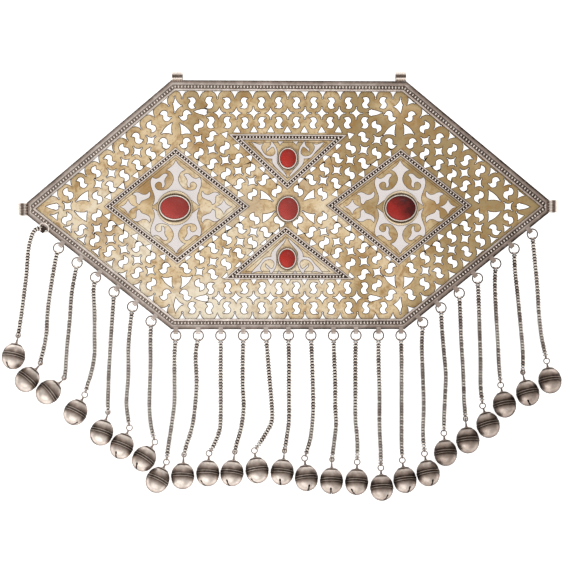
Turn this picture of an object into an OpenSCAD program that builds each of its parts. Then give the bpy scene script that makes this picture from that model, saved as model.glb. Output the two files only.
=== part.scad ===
// Chest ornament of parcel-gilt silver, laid flat on its back with the front face up.
// A six-sided pierced plaque carries five carnelians and two rhomb and two triangle frames.
// Jump rings along its three lower edges hold twenty-five chains, each with a round bell.
// The origin is the middle of the footprint on the surface it lies on; +Y is the wearer's up.

/* [Plaque] */
// Thickness of the gilt sheet
sheet_t = 1.0; // [0.8:0.1:1.1]
// Air left between neighbouring pieces
clearance = 0.1; // [0.05:0.05:0.15]
// Height of one S-shaped piercing
scroll_h = 6.0; // [5:0.1:6.4]
// Width of one S-shaped piercing
scroll_w = 3.8; // [3:0.1:4.2]

/* [Silver border] */
// Width of the border seen from the front
rim_w = 5.5; // [5.2:0.1:6]
// Height of the border's plain strip over the surface
rim_h = 2.1; // [2:0.1:2.2]
// Thickness of the turned-down outer wall
rim_wall = 0.7; // [0.5:0.1:0.8]
// Width of the beaded row
bead_w = 1.5; // [1.2:0.1:1.6]
// Height of the beads over the strip
bead_h = 0.6; // [0.4:0.1:0.8]
// Width of the plain wire inside the beads
wire_w = 1.3; // [1:0.1:1.4]
// Height of the plain wire over the strip
wire_h = 0.4; // [0.3:0.1:0.6]

/* [Panel frames] */
// Width of the strips round the rhombs and triangles
strip_w = 3.1; // [2.8:0.1:3.4]
// Thickness of those strips
strip_t = 0.7; // [0.5:0.1:0.9]
// Height of their beaded row over the strip
strip_bead_h = 0.5; // [0.3:0.1:0.6]

/* [Settings] */
// Height of the collets over the sheet
collet_h = 2.3; // [2:0.1:2.6]
// Thickness of the collet wall that holds the stone
collet_t = 0.6; // [0.5:0.1:0.8]
// Height of the stepped foot
foot_h = 1.0; // [0.8:0.1:1.4]
// Height of the straight lower part of a stone
girdle_h = 1.8; // [1.4:0.1:2]
// Height of the domed upper part of a stone
dome_h = 2.2; // [1.6:0.1:2.8]

/* [Hanger tubes] */
// Radius of the bore that a cord or pin passes through
hanger_bore_r = 1.75; // [1.5:0.05:1.9]
// Outer radius over the ribs
hanger_r = 2.6; // [2.5:0.05:2.7]
// Radius of one rib's round back
rib_r = 0.4; // [0.3:0.05:0.45]
// Ribs on each tube
rib_count = 5; // [4:1:6]
// Length of the tubes on the upper edge
hanger_top_len = 5.5; // [5:0.1:6]
// Length of the tubes at the side corners
hanger_side_len = 6.4; // [6:0.1:7]

/* [Jump rings] */
// Radius of a jump ring at the middle of its wire
ring_r = 2.65; // [2.5:0.05:2.8]
// Diameter of its wire
ring_wire = 0.7; // [0.6:0.05:0.75]
// Width of the strip eyes that the rings hang in
eye_w = 2.3; // [2:0.1:2.4]
// Thickness of the strip eyes
eye_t = 0.3; // [0.25:0.05:0.35]
// How far the eyes reach past the border
eye_reach = 2.4; // [2.3:0.05:2.6]

/* [Chains] */
// Diameter of a chain
chain_d = 2.1; // [1.8:0.1:2.2]
// Distance between the cross-sections of a chain
chain_step = 5; // [4:0.5:6]

/* [Bells] */
// Radius of a bell's two round halves
bell_r = 5.85; // [5.6:0.05:5.85]
// How far each half's centre lies from the belt
bell_shift = 0.95; // [0.8:0.05:1]
// Wall of a bell
bell_wall = 0.5; // [0.4:0.1:0.8]
// Diameter of the three belt wires
belt_wire = 0.6; // [0.4:0.05:0.6]
// Radius of the small cap under the loop
cap_r = 3.1; // [2.8:0.1:3.3]
// Radius of the bell's loop at the middle of its wire
loop_r = 1.5; // [1.4:0.05:1.6]
// Diameter of the loop's wire
loop_wire = 0.6; // [0.5:0.05:0.7]
// Distance from the middle of the bell to the middle of its loop
loop_reach = 10.5; // [10.3:0.1:10.6]
// Width of the sound slit
slit_w = 0.4; // [0.3:0.05:0.6]
// Angle by which the loop end lies lower than the belt
bell_tilt = 15; // [12:1:18]

/* [Hidden] */
$fn = 48;
EPS = 0.2;
// The plaque's own centre, measured from the middle of the footprint
place = [3.25, 41.55];
// Corners of the plaque, counter-clockwise from the upper right
TOP_RIGHT = [61.4, 64.7];
TOP_LEFT = [-60.6, 65.3];
SIDE_LEFT_UPPER = [-135.7, 1.6];
SIDE_LEFT_LOWER = [-135.7, -4.7];
BASE_LEFT = [-60.6, -64.1];
BASE_RIGHT = [60.6, -64];
SIDE_RIGHT_LOWER = [135.7, -3.4];
SIDE_RIGHT_UPPER = [135.7, 2.9];
outline = [
    TOP_RIGHT, TOP_LEFT, SIDE_LEFT_UPPER, SIDE_LEFT_LOWER,
    BASE_LEFT, BASE_RIGHT, SIDE_RIGHT_LOWER, SIDE_RIGHT_UPPER
];
// Tips of the panel frames, counter-clockwise
rhomb_left = [[-19.9, -0.2], [-58.4, 30.4], [-95.6, -0.4], [-57.5, -30.3]];
rhomb_right = [[95.7, 0.2], [58.6, 29.7], [19.8, 0.2], [57.5, -30.7]];
triangle_upper = [[31, 37], [-31.3, 37.4], [-0.4, 8.5]];
triangle_lower = [[-33.5, -38.2], [34, -38.3], [-1.3, -10.4]];

// Stones: name, x, y, width, height, width of the collet's foot, its height on the page
STONES = [
    ["stone_left", -58.8, -1.0, 14.8, 11.6, 18.7, 18.0],
    ["stone_right", 58.6, -1.2, 15.0, 12.5, 18.7, 18.2],
    ["stone_upper", 0, 24.6, 8.2, 9.5, 11.4, 12.7],
    ["stone_centre", 0, -1.6, 10.1, 11.6, 13.3, 14.8],
    ["stone_lower", -0.4, -27.4, 8.1, 9.4, 11.3, 12.6]
];

// Piercings of the upper left quarter, mirrored to the other three about pattern_centre:
// start, end, how many, hand of the first, turn of the scroll from upright
pattern_centre = [-0.2, 0.25];
SCROLL_ROWS = [
    [[-49.8, 53.3], [-4.5, 53.3], 6, -1, 0],
    [[-40.0, 43.0], [-4.45, 43.0], 5, -1, 0],
    [[-63.6, 46.8], [-114.0, 5.7], 8, -1, 39],
    [[-64.0, 32.4], [-98.8, 3.8], 6, -1, 39],
    [[-53.3, 32.3], [-18.2, 5.4], 6, 1, -37.5]
];
// One half of the scroll's edge, in units of its width and height; the rest is its half turn
SCROLL_HALF = [
    [0.43, 0.43], [0.25, 0.27], [0.18, 0.13], [0.35, 0.02],
    [0.5, -0.16], [0.35, -0.4], [0.03, -0.5]
];

// Hanger tubes: x, y, turn of the axis from X, length
HANGERS = [
    [-57.4, 67.1, 0, hanger_top_len],
    [58.5, 67.0, 0, hanger_top_len],
    [-137.8, -1.9, 90, hanger_side_len],
    [137.4, -0.3, 90, hanger_side_len]
];
hanger_z = hanger_r + 0.15;
// Inset of the beaded row's inner edge
bead_row = rim_w - wire_w - 0.1;

// Pendants hang from three edges: corner where the edge starts, where it ends,
// distance of the first ring, distance between rings, how many
EDGES = [
    [SIDE_LEFT_LOWER, BASE_LEFT, 11.4, 12.25, 7],
    [BASE_LEFT, BASE_RIGHT, 2.3, 11.7, 11],
    [BASE_RIGHT, SIDE_RIGHT_LOWER, 9.4, 12.2, 7]
];
ring_out = 3.3;
eye_mid_z = 1.22;
eye_hole_r = (2 * eye_mid_z - 0.3) / 2 - eye_t;
eye_round_x = eye_reach - eye_t - eye_hole_r;
eye_tail = 1.2;
// The first ring lies folded back over the border
FOLD_OUT = -0.55;
FOLD_Z = 3.05;
FOLD_TILT = 38;

// Bells: x, y, lean of the loop end from straight up the page, turn of the slit, turn of the loop
BELLS = [
    [-142.0, -78.0, 11, -31, 90],
    [-135.0, -90.0, 40, 90, 90],
    [-124.0, -96.5, 50, 90, 90],
    [-110.0, -107.0, 27, 50, 0],
    [-96.5, -117.5, 18, -60, 90],
    [-86.0, -124.5, 22, -18, 0],
    [-74.5, -131.0, 33, -22, 0],
    [-67.5, -142.0, 26, 90, 0],
    [-54.5, -140.0, 2, 90, 90],
    [-41.5, -138.5, 3, -44, 0],
    [-29.0, -138.5, 7, -28, 90],
    [-16.0, -137.0, -8, -50, 0],
    [-3.0, -138.0, 6, -10, 90],
    [9.5, -141.0, -5, 15, 0],
    [22.5, -142.5, 1, -5, 90],
    [35.5, -143.0, 2, -35, 0],
    [48.5, -146.0, -2, 38, 0],
    [60.5, -142.0, -7, 25, 0],
    [72.5, -138.5, -10, 20, 0],
    [81.5, -128.0, -4, 90, 0],
    [93.0, -121.5, -5, 90, 90],
    [103.5, -113.5, -15, 90, 0],
    [112.0, -103.0, -10, 60, 0],
    [124.0, -97.0, -13, -15, 90],
    [135.5, -90.5, -8, 90, 0]
];
bell_z = bell_r + belt_wire / 2 + 0.05;
belt_pitch = 1.2 * belt_wire;
// The slit runs through the foot up to this height below the middle
slit_end = 3.5;
// Cap, cone and shank between a bell and its loop
cap_t = 0.7;
cap_sink = 1;
cone_r = 1.3;
cone_top_r = 0.6;
cone_h = 0.9;
cone_sink = 0.4;
shank_r = 0.45;

// Routes of the chains between ring and bell, laid on the surface
ROUTES = [
    [[-131.6, -12.6], [-134, -18], [-135.2, -25], [-136, -36], [-138, -52], [-139.5, -64]],
    [[-121, -29], [-123.5, -44], [-125, -56], [-125.5, -66], [-127, -75], [-128, -79]],
    [[-111, -37], [-112.5, -46], [-113.5, -60], [-115, -75], [-115.5, -86]],
    [[-101, -44], [-100.5, -56], [-100.5, -68], [-100.5, -77], [-102, -86], [-104, -93]],
    [[-91, -53], [-92, -68], [-93, -84], [-93.5, -98]],
    [[-82, -62], [-83, -74], [-83, -88], [-84, -102], [-83, -110]],
    [[-71.5, -70], [-71.5, -84], [-72, -98], [-72, -107], [-71, -115]],
    [[-59, -78], [-59, -92], [-59, -102], [-60.5, -114], [-62, -124]],
    [[-48, -78], [-47.5, -92], [-48.5, -106], [-50, -115.5], [-52.5, -123.5]],
    [[-35, -80], [-35, -94], [-35, -108], [-35.5, -116], [-38, -123]],
    [[-23.5, -80], [-23.5, -94], [-23, -105], [-24.5, -116], [-26.5, -123]],
    [[-10.5, -79], [-9.5, -91], [-8.5, -103], [-8.5, -112], [-12, -119]],
    [[0.5, -80], [0.5, -96], [0.5, -111], [-0.5, -119.5]],
    [[12.5, -80], [13, -96], [13, -108], [12, -119], [10.5, -125]],
    [[24, -79], [24.5, -92], [24.5, -104], [25, -113], [24, -122.5]],
    [[35, -79], [35, -96], [35, -110], [36, -122]],
    [[47, -80], [47.5, -98], [47.5, -114], [48, -126]],
    [[59, -80], [59, -98], [59, -114], [59, -125]],
    [[69.5, -73], [70, -88], [70.5, -104], [70, -118]],
    [[80, -64], [81, -76], [82, -88], [81.5, -101], [81, -111]],
    [[89.5, -56], [90, -70], [91, -86], [91.5, -101]],
    [[99, -48], [99.5, -64], [100, -80], [100, -94]],
    [[107.5, -40], [108, -54], [109, -70], [109.5, -82]],
    [[118, -34], [119.5, -48], [121, -64], [122, -76]],
    [[128, -26], [129.5, -42], [130.5, -58], [132, -70]]
];
CHAIN_SIDES = 8;
STONE_SIDES = 36;
chain_z = chain_d / 2 + 0.05;
first_chain_z = 1.6;
drop_run = 8;
rise_run = 14;
meet = 0.15;

function unit(v) = v / norm(v);
function left_of(v) = [-v[1], v[0]];
// Polygon moved inwards by d on every side
function inset(p, d) = [
    for (i = [0 : len(p) - 1])
        let (
            before = left_of(unit(p[i] - p[(i + len(p) - 1) % len(p)])),
            after = left_of(unit(p[(i + 1) % len(p)] - p[i])),
            mid = unit(before + after)
        )
        p[i] + mid * d / (mid * before)
];
function ellipse(w, h) = [
    for (j = [0 : STONE_SIDES - 1])
        let (a = -j * 360 / STONE_SIDES)
        [w / 2 * cos(a), h / 2 * sin(a)]
];
function raised(p, z) = [for (q = p) [q[0], q[1], z]];
function scroll_points(hand) = [
    for (s = [1, -1])
        for (q = SCROLL_HALF)
            [hand * s * q[0] * scroll_w, s * q[1] * scroll_h]
];

// Where each pendant hangs: foot on the border's edge, direction along it, direction outwards
PENDANTS = [
    for (e = EDGES)
        for (k = [0 : e[4] - 1])
            let (along = unit(e[1] - e[0]))
            [e[0] + along * (e[2] + k * e[3]), along, -left_of(along)]
];
function ring_mid(i) = PENDANTS[i][0] + PENDANTS[i][2] * (i == 0 ? FOLD_OUT : ring_out);
function heading(v) = atan2(v[1], v[0]);
function up_page(lean) = [sin(lean), cos(lean)];
function loop_mid(i) = [BELLS[i][0], BELLS[i][1]]
    + up_page(BELLS[i][2]) * loop_reach * cos(bell_tilt);
loop_z = bell_z - loop_reach * sin(bell_tilt);

// A chain's whole route: off the ring, over its own points, up to the bell's loop
function route(i) =
    let (
        first = ROUTES[i][0],
        last = ROUTES[i][len(ROUTES[i]) - 1],
        start = ring_mid(i) + unit(first - ring_mid(i)) * (ring_r + ring_wire / 2 + meet),
        finish = loop_mid(i) + unit(last - loop_mid(i)) * (loop_r + loop_wire / 2 + meet)
    )
    concat([start], ROUTES[i], [finish]);
function ease(t) =
    let (c = min(1, max(0, t)))
    c * c * (3 - 2 * c);
function route_z(p, r, i) =
    let (
        rise = ease(1 - norm(p - r[len(r) - 1]) / rise_run),
        drop = i == 0 ? ease(1 - norm(p - r[0]) / drop_run) : 0
    )
    chain_z + rise * (loop_z - chain_z) + drop * (first_chain_z - chain_z);
// Point on the smooth curve through a, b, c, d, between b and c
function curve(a, b, c, d, t) =
    0.5 * (2 * b + (c - a) * t + (2 * a - 5 * b + 4 * c - d) * t * t
        + (3 * b - a - 3 * c + d) * t * t * t);
function route_curve(r) = concat(
    [
        for (i = [0 : len(r) - 2])
            let (
                a = r[max(0, i - 1)],
                d = r[min(len(r) - 1, i + 2)],
                steps = max(1, round(norm(r[i + 1] - r[i]) / chain_step))
            )
            for (j = [0 : steps - 1])
                curve(a, r[i], r[i + 1], d, j / steps)
    ],
    [r[len(r) - 1]]
);

function two_digits(n) = str(n < 10 ? "0" : "", n);
COUNT = len(BELLS);
CHAIN_NAMES = [for (i = [1 : COUNT]) str("chain_", two_digits(i))];
BELL_NAMES = [for (i = [1 : COUNT]) str("bell_", two_digits(i))];
STONE_NAMES = [for (s = STONES) s[0]];

module placed() {
    translate([place[0], place[1], 0]) children();
}

// Flat band that follows a polygon, from inset d0 to inset d1 and from z0 to z1
module band(p, d0, d1, z0, z1) {
    translate([0, 0, z0]) linear_extrude(z1 - z0) difference() {
        polygon(inset(p, d0));
        polygon(inset(p, d1));
    }
}

module scroll_row(row) {
    count = row[2];
    for (k = [0 : count - 1]) {
        t = k / (count - 1);
        hand = row[3] * (k % 2 == 0 ? 1 : -1);
        translate(row[0] * (1 - t) + row[1] * t)
            rotate(row[4])
                polygon(scroll_points(hand));
    }
}

module all_scrolls() {
    translate(pattern_centre)
        for (flip_x = [0, 1], flip_y = [0, 1])
            mirror([flip_x, 0]) mirror([0, flip_y])
                for (row = SCROLL_ROWS) scroll_row(row);
}

// One collet with its stepped foot, open in the middle for the stone
module collet(s) {
    w = s[3] + 2 * clearance;
    h = s[4] + 2 * clearance;
    translate([s[1], s[2], sheet_t - EPS]) difference() {
        union() {
            linear_extrude(foot_h + EPS) polygon(ellipse(s[5], s[6]));
            linear_extrude(collet_h + EPS) polygon(ellipse(w + 2 * collet_t, h + 2 * collet_t));
        }
        translate([0, 0, EPS]) linear_extrude(collet_h + 1) polygon(ellipse(w, h));
    }
}

// Gilt sheet, cut through, with the five collets soldered on
module pierced_plate() {
    color("goldenrod") placed() {
        linear_extrude(sheet_t) difference() {
            polygon(inset(outline, rim_wall + clearance));
            all_scrolls();
        }
        for (s = STONES) collet(s);
    }
}

// Strip loop that stands out from the border and holds a jump ring
module strip_eye() {
    rotate([90, 0, 0]) linear_extrude(eye_w, center = true) difference() {
        union() {
            translate([eye_round_x, eye_mid_z]) circle(eye_hole_r + eye_t);
            translate([-rim_wall / 2, eye_mid_z - eye_hole_r - eye_t])
                square([eye_round_x + rim_wall / 2, 2 * (eye_hole_r + eye_t)]);
            translate([-eye_tail, eye_mid_z + eye_hole_r]) square([eye_tail, eye_t]);
        }
        translate([eye_round_x, eye_mid_z]) circle(eye_hole_r);
        translate([0, eye_mid_z - eye_hole_r]) square([eye_round_x, 2 * eye_hole_r]);
    }
}

// Silver border: turned-down wall, plain strip, beaded row, inner wire and the eyes
module border_frame() {
    color("silver") placed() difference() {
        union() {
            band(outline, 0, rim_wall, 0, rim_h);
            band(outline, 0, rim_w, sheet_t + clearance, rim_h);
            band(outline, bead_row - bead_w, bead_row, rim_h - EPS, rim_h + bead_h);
            band(outline, rim_w - wire_w, rim_w, rim_h - EPS, rim_h + wire_h);
            for (p = PENDANTS)
                translate([p[0][0], p[0][1], 0]) rotate(heading(p[2])) strip_eye();
        }
        for (h = HANGERS)
            translate([h[0], h[1], hanger_z]) rotate([90, 0, h[2] + 90])
                cylinder(r = hanger_r + clearance, h = h[3] + 4 * clearance, center = true);
    }
}

// Beaded strip round one panel, lying on the sheet
module panel_frame(p) {
    base = sheet_t + clearance;
    band(p, 0, strip_w, base, base + strip_t);
    band(p, strip_w * 0.3, strip_w * 0.7, base + strip_t - EPS, base + strip_t + strip_bead_h);
}

module rhomb_frames() {
    color("silver") placed() {
        panel_frame(rhomb_left);
        panel_frame(rhomb_right);
    }
}

module triangle_frames() {
    color("silver") placed() {
        panel_frame(triangle_upper);
        panel_frame(triangle_lower);
    }
}

// Ribbed strip rolled into a tube, bore along X
module hanger_tube(len) {
    pitch = (len - 2 * rib_r) / (rib_count - 1);
    rotate([0, 90, 0]) difference() {
        union() {
            cylinder(r = hanger_r - rib_r, h = len, center = true);
            for (k = [0 : rib_count - 1])
                translate([0, 0, -len / 2 + rib_r + k * pitch])
                    rotate_extrude() translate([hanger_r - rib_r, 0]) circle(rib_r, $fn = 24);
        }
        cylinder(r = hanger_bore_r, h = len + 1, center = true);
    }
}

module hanger_tubes() {
    color("lightgray") placed()
        for (h = HANGERS)
            translate([h[0], h[1], hanger_z]) rotate(h[2]) hanger_tube(h[3]);
}

// Closed skin over rings of points that all have the same number of points
module loft(rings) {
    sides = len(rings[0]);
    last = len(rings) - 1;
    walls = [
        for (k = [0 : last - 1], j = [0 : sides - 1])
            let (a = k * sides + j, b = k * sides + (j + 1) % sides)
            [a, b, b + sides, a + sides]
    ];
    start_cap = [for (j = [sides - 1 : -1 : 0]) j];
    end_cap = [for (j = [0 : sides - 1]) last * sides + j];
    polyhedron([for (ring = rings) each ring], concat(walls, [start_cap, end_cap]));
}

// Cabochon: straight girdle under a full dome
module stone(s) {
    dome = [
        for (a = [0, 20, 38, 54, 68, 80])
            raised(ellipse(s[3] * cos(a), s[4] * cos(a)), girdle_h + dome_h * sin(a))
    ];
    color("firebrick") placed() translate([s[1], s[2], sheet_t + clearance])
        loft(concat([raised(ellipse(s[3], s[4]), 0)], dome));
}

module jump_ring(i) {
    folded = i == 0;
    translate([ring_mid(i)[0], ring_mid(i)[1], folded ? FOLD_Z : eye_mid_z])
        rotate(heading(PENDANTS[i][2]))
            rotate([0, folded ? FOLD_TILT : 0, 0])
                rotate_extrude() translate([ring_r, 0]) circle(ring_wire / 2, $fn = 24);
}

// Round tube swept along a chain's route
module chain_body(i) {
    r = route(i);
    mids = [for (p = route_curve(r)) [p[0], p[1], route_z(p, r, i)]];
    last = len(mids) - 1;
    loft([
        for (k = [0 : last])
            let (
                ahead = unit(mids[min(last, k + 1)] - mids[max(0, k - 1)]),
                side = unit(cross(ahead, [0, 0, 1])),
                over = cross(side, ahead)
            )
            [
                for (j = [0 : CHAIN_SIDES - 1])
                    let (a = (j + 0.5) * 360 / CHAIN_SIDES)
                    mids[k] + (side * cos(a) + over * sin(a)) * chain_d / 2
            ]
    ]);
}

module chain(i) {
    color("dimgray") placed() {
        jump_ring(i);
        chain_body(i);
    }
}

// Outline of a bell's shell, turned about its own axis
module bell_section(r) {
    intersection() {
        union() {
            translate([0, bell_shift]) circle(r);
            translate([0, -bell_shift]) circle(r);
            translate([0, -bell_shift]) square([r, 2 * bell_shift]);
        }
        translate([0, -2 * r]) square([2 * r, 4 * r]);
    }
}

// Hollow bell with belt wires, cap, loop and a slit across its foot
module bell(i) {
    b = BELLS[i];
    top = bell_shift + bell_r;
    color("gainsboro") placed() translate([b[0], b[1], bell_z])
        rotate([0, 0, -b[2]]) rotate([-90 - bell_tilt, 0, 0]) {
            difference() {
                rotate_extrude() difference() {
                    bell_section(bell_r);
                    bell_section(bell_r - bell_wall);
                }
                rotate(b[3]) translate([-slit_w / 2, -bell_r, -top - 1])
                    cube([slit_w, 2 * bell_r, top + 1 - slit_end]);
            }
            for (s = [-1, 0, 1])
                translate([0, 0, s * belt_pitch])
                    rotate_extrude() translate([bell_r, 0]) circle(belt_wire / 2, $fn = 24);
            translate([0, 0, top - cap_sink]) cylinder(r1 = cap_r, r2 = cap_r * 0.6, h = cap_t);
            translate([0, 0, top - cone_sink]) {
                cylinder(r1 = cone_r, r2 = cone_top_r, h = cone_h);
                cylinder(r = shank_r, h = loop_reach - loop_r - top + cone_sink);
            }
            translate([0, 0, loop_reach]) rotate([90, 0, b[4]])
                rotate_extrude() translate([loop_r, 0]) circle(loop_wire / 2, $fn = 24);
        }
}

pierced_plate();
border_frame();
rhomb_frames();
triangle_frames();
hanger_tubes();
for (s = STONES) stone(s);
for (i = [0 : COUNT - 1]) chain(i);
for (i = [0 : COUNT - 1]) bell(i);
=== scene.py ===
"""Dresses a six-sided pierced chest ornament: gilt sheet, beaded silver, carnelians, chains and bells.

Lengths in the charts below are in millimetres from the middle of the plaque, with the front face up.
"""

import math
import random

import bmesh
import bpy
import numpy as np
from bpy.props import FloatProperty, FloatVectorProperty, IntProperty, PointerProperty
from bpy.types import Operator, Panel, PropertyGroup
from mathutils import Matrix, Vector
from mathutils.geometry import delaunay_2d_cdt


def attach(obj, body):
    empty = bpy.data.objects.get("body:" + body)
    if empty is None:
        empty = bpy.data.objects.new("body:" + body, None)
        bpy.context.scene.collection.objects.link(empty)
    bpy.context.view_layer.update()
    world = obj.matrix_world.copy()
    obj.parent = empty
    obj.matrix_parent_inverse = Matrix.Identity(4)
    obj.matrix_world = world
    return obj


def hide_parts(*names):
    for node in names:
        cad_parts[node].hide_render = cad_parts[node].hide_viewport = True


bl_info = {
    "name": "Turkmen Chest Ornament",
    "version": (1, 0, 0),
    "blender": (4, 5, 0),
    "location": "3D Viewport > Sidebar > Ornament",
    "description": "Gilt openwork, beaded silver, carnelians, woven chains and bells round a fixed frame",
    "category": "Add Mesh",
}

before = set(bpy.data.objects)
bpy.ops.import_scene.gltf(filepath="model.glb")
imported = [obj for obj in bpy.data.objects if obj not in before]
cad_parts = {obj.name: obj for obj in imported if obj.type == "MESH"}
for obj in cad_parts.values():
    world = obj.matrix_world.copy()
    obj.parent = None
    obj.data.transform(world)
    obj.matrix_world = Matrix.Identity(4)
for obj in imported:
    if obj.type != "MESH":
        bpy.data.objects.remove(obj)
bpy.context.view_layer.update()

MM = 0.001
SEED = 7
# The middle of the plaque in the frame
PLACE = (3.25, 41.55)

# Corners of the plaque, counter-clockwise from the upper right
TOP_RIGHT = (61.4, 64.7)
TOP_LEFT = (-60.6, 65.3)
SIDE_LEFT_UPPER = (-135.7, 1.6)
SIDE_LEFT_LOWER = (-135.7, -4.7)
BASE_LEFT = (-60.6, -64.1)
BASE_RIGHT = (60.6, -64.0)
SIDE_RIGHT_LOWER = (135.7, -3.4)
SIDE_RIGHT_UPPER = (135.7, 2.9)
OUTLINE = (
    TOP_RIGHT, TOP_LEFT, SIDE_LEFT_UPPER, SIDE_LEFT_LOWER,
    BASE_LEFT, BASE_RIGHT, SIDE_RIGHT_LOWER, SIDE_RIGHT_UPPER,
)
# From the bead row inwards the border runs to a point at both sides
POINTED_FROM = 2.4
TIP_LEFT = (-139.5, -1.7)
TIP_RIGHT = (139.5, -0.3)
POINTED = (TOP_RIGHT, TOP_LEFT, TIP_LEFT, BASE_LEFT, BASE_RIGHT, TIP_RIGHT)
# Tips of the panel frames, counter-clockwise
RHOMBS = (
    ((-19.9, -0.2), (-58.4, 30.4), (-95.6, -0.4), (-57.5, -30.3)),
    ((95.7, 0.2), (58.6, 29.7), (19.8, 0.2), (57.5, -30.7)),
)
TRIANGLES = (
    ((31.0, 37.0), (-31.3, 37.4), (-0.4, 8.5)),
    ((-33.5, -38.2), (34.0, -38.3), (-1.3, -10.4)),
)
# Stones: colour, how much of it is left on the shaded side, x, y, width, height,
# width of the collet's foot, its height on the page
STONES = {
    "stone_left": ("brown", 0.75, -58.8, -1.0, 14.8, 11.6, 18.7, 18.0),
    "stone_right": ("dark", 0.2, 58.6, -1.2, 15.0, 12.5, 18.7, 18.2),
    "stone_upper": ("bright", 0.75, 0.0, 24.6, 8.2, 9.5, 11.4, 12.7),
    "stone_centre": ("brown", 0.75, 0.0, -1.6, 10.1, 11.6, 13.3, 14.8),
    "stone_lower": ("bright", 0.75, -0.4, -27.4, 8.1, 9.4, 11.3, 12.6),
}

SHEET_T = 1.0
GAP = 0.1
RIM_WALL = 0.7
GIRDLE_H = 1.8
DOME_H = 2.2

# Piercings of the upper left quarter, mirrored to the other three about PATTERN_MIDDLE.
# Rows: shape, first place, last place, how many, hand of the first, turn in degrees
PATTERN_MIDDLE = (-0.2, 0.25)
QUARTER_ROWS = (
    ("scroll", (-63.6, 46.8), (-114.0, 5.7), 8, -1, 39),
    ("scroll", (-64.0, 32.4), (-98.8, 3.8), 6, -1, 39),
    ("scroll", (-53.2, 46.9), (-53.2, 46.9), 1, 1, -39),
    ("scroll", (-53.3, 32.3), (-18.2, 5.4), 6, 1, -37.5),
    ("scroll", (-46.2, 41.6), (-5.6, 7.1), 7, -1, -40),
    ("star", (-71.3, 33.7), (-98.4, 10.8), 5, 1, 39),
    ("star", (-46.4, 34.4), (-18.7, 12.4), 5, 1, -38),
    ("edge_point", (-63.2, 53.5), (-120.4, 5.2), 9, 1, 40),
    ("inner_point", (-64.6, 26.2), (-92.8, 3.9), 5, 1, -140),
    ("inner_point", (-32.5, 37.0), (-6.2, 13.2), 5, 1, -43),
    ("inner_point", (-52.6, 26.4), (-24.9, 5.1), 5, 1, 141),
    ("teardrop", (-44.5, 48.9), (-44.5, 48.9), 1, 1, 0),
    ("flame", (-58.0, 52.6), (-58.0, 52.6), 1, 1, 0),
    ("leaf_low", (-62.4, 39.7), (-62.4, 39.7), 1, 1, 0),
    ("leaf_high", (-53.8, 39.5), (-53.8, 39.5), 1, 1, 0),
    ("leaf_side", (-106.5, 4.2), (-106.5, 4.2), 1, 1, 0),
    ("leaf_middle", (-11.2, 4.5), (-11.2, 4.5), 1, 1, 0),
)
# How far each quarter of the hand-cut pattern strays from its mirror image:
# mirrored in X, in Y, shift in X, more of it outwards, shift in Y, more of it away from the middle
QUARTERS = (
    (1, 1, 0.0, 0.0, 0.4, -0.6),
    (-1, 1, 0.2, -0.7, 0.9, -1.6),
    (1, -1, 1.3, -1.9, 1.6, -2.2),
    (-1, -1, 0.3, -0.9, 1.5, -2.1),
)
# Level rows of the upper half, mirrored to the lower half:
# shape, height, how many, pitch, hand of the first
LEVEL_ROWS = (
    ("scroll", 53.3, 12, 9.05, -1),
    ("scroll", 43.0, 10, 8.9, -1),
    ("star", 48.0, 9, 8.92, 1),
    ("edge_point", 57.8, 13, 9.13, 1),
    ("inner_point", 39.2, 7, 8.81, 1),
)
# Piercings at the side corners, mirrored to the other side: shape, place, turn
SIDE_MARKS = (
    ("teardrop", (-121.6, -0.6), 0),
    ("star", (-114.4, -0.5), 45),
)

# Half of the scroll's edge, the rest is its half turn; a third value, here and below, marks a sharp tip
SCROLL_HALF = (
    (1.75, 2.55, 1), (0.98, 1.66), (0.7, 0.78), (1.32, 0.1),
    (1.9, -0.95), (1.35, -2.4), (0.1, -3.0),
)
# Straight-sided piercings: x, y and how far the side that follows bulges out, in side lengths
PIERCINGS = {
    "star": ((2.95, 0, -0.17), (0, 2.95, -0.17), (-2.95, 0, -0.17), (0, -2.95, -0.17)),
    "edge_point": ((2.1, 1.6, 0), (-2.1, 1.6, -0.1), (0, -2.1, -0.1)),
    "inner_point": ((1.9, -1.3, 0), (0, 1.9, 0), (-1.9, -1.3, 0)),
    "teardrop": ((-4.2, 0, 0.05), (1.2, -1.5, 0.32), (2.6, 0, 0.32), (1.2, 1.5, 0.05)),
    "flame": ((-0.6, 4.1, -0.04), (-1.3, 0.5, 0.02), (-0.3, -3.9, -0.08), (3.0, -0.4, -0.1)),
    "leaf_low": ((2.2, 3.0, 0.1), (-2.9, -2.2, -0.08), (2.1, -2.4, -0.05)),
    "leaf_high": ((-2.0, 3.2, -0.05), (-1.6, -2.5, -0.08), (3.6, -2.4, 0.1)),
    "leaf_side": ((2.6, 2.7, 0.08), (-3.4, -2.4, -0.08), (2.8, -2.2, -0.03)),
    "leaf_middle": ((-2.7, 2.9, -0.03), (-2.6, -1.3, -0.05), (3.1, -2.6, 0.08)),
}
# Drill holes at sharp corners, and the share of each shape's corners that show one
DRILL_R = 0.32
DRILLED = {"scroll": 0.25, "inner_point": 0}
DRILLED_OTHERS = 0.7
# How far the hand sawing strays: place, turn in degrees, size
SAW_SHIFT = 0.14
SAW_TURN = 3
SAW_SIZES = (0.97, 1.04)

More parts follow.
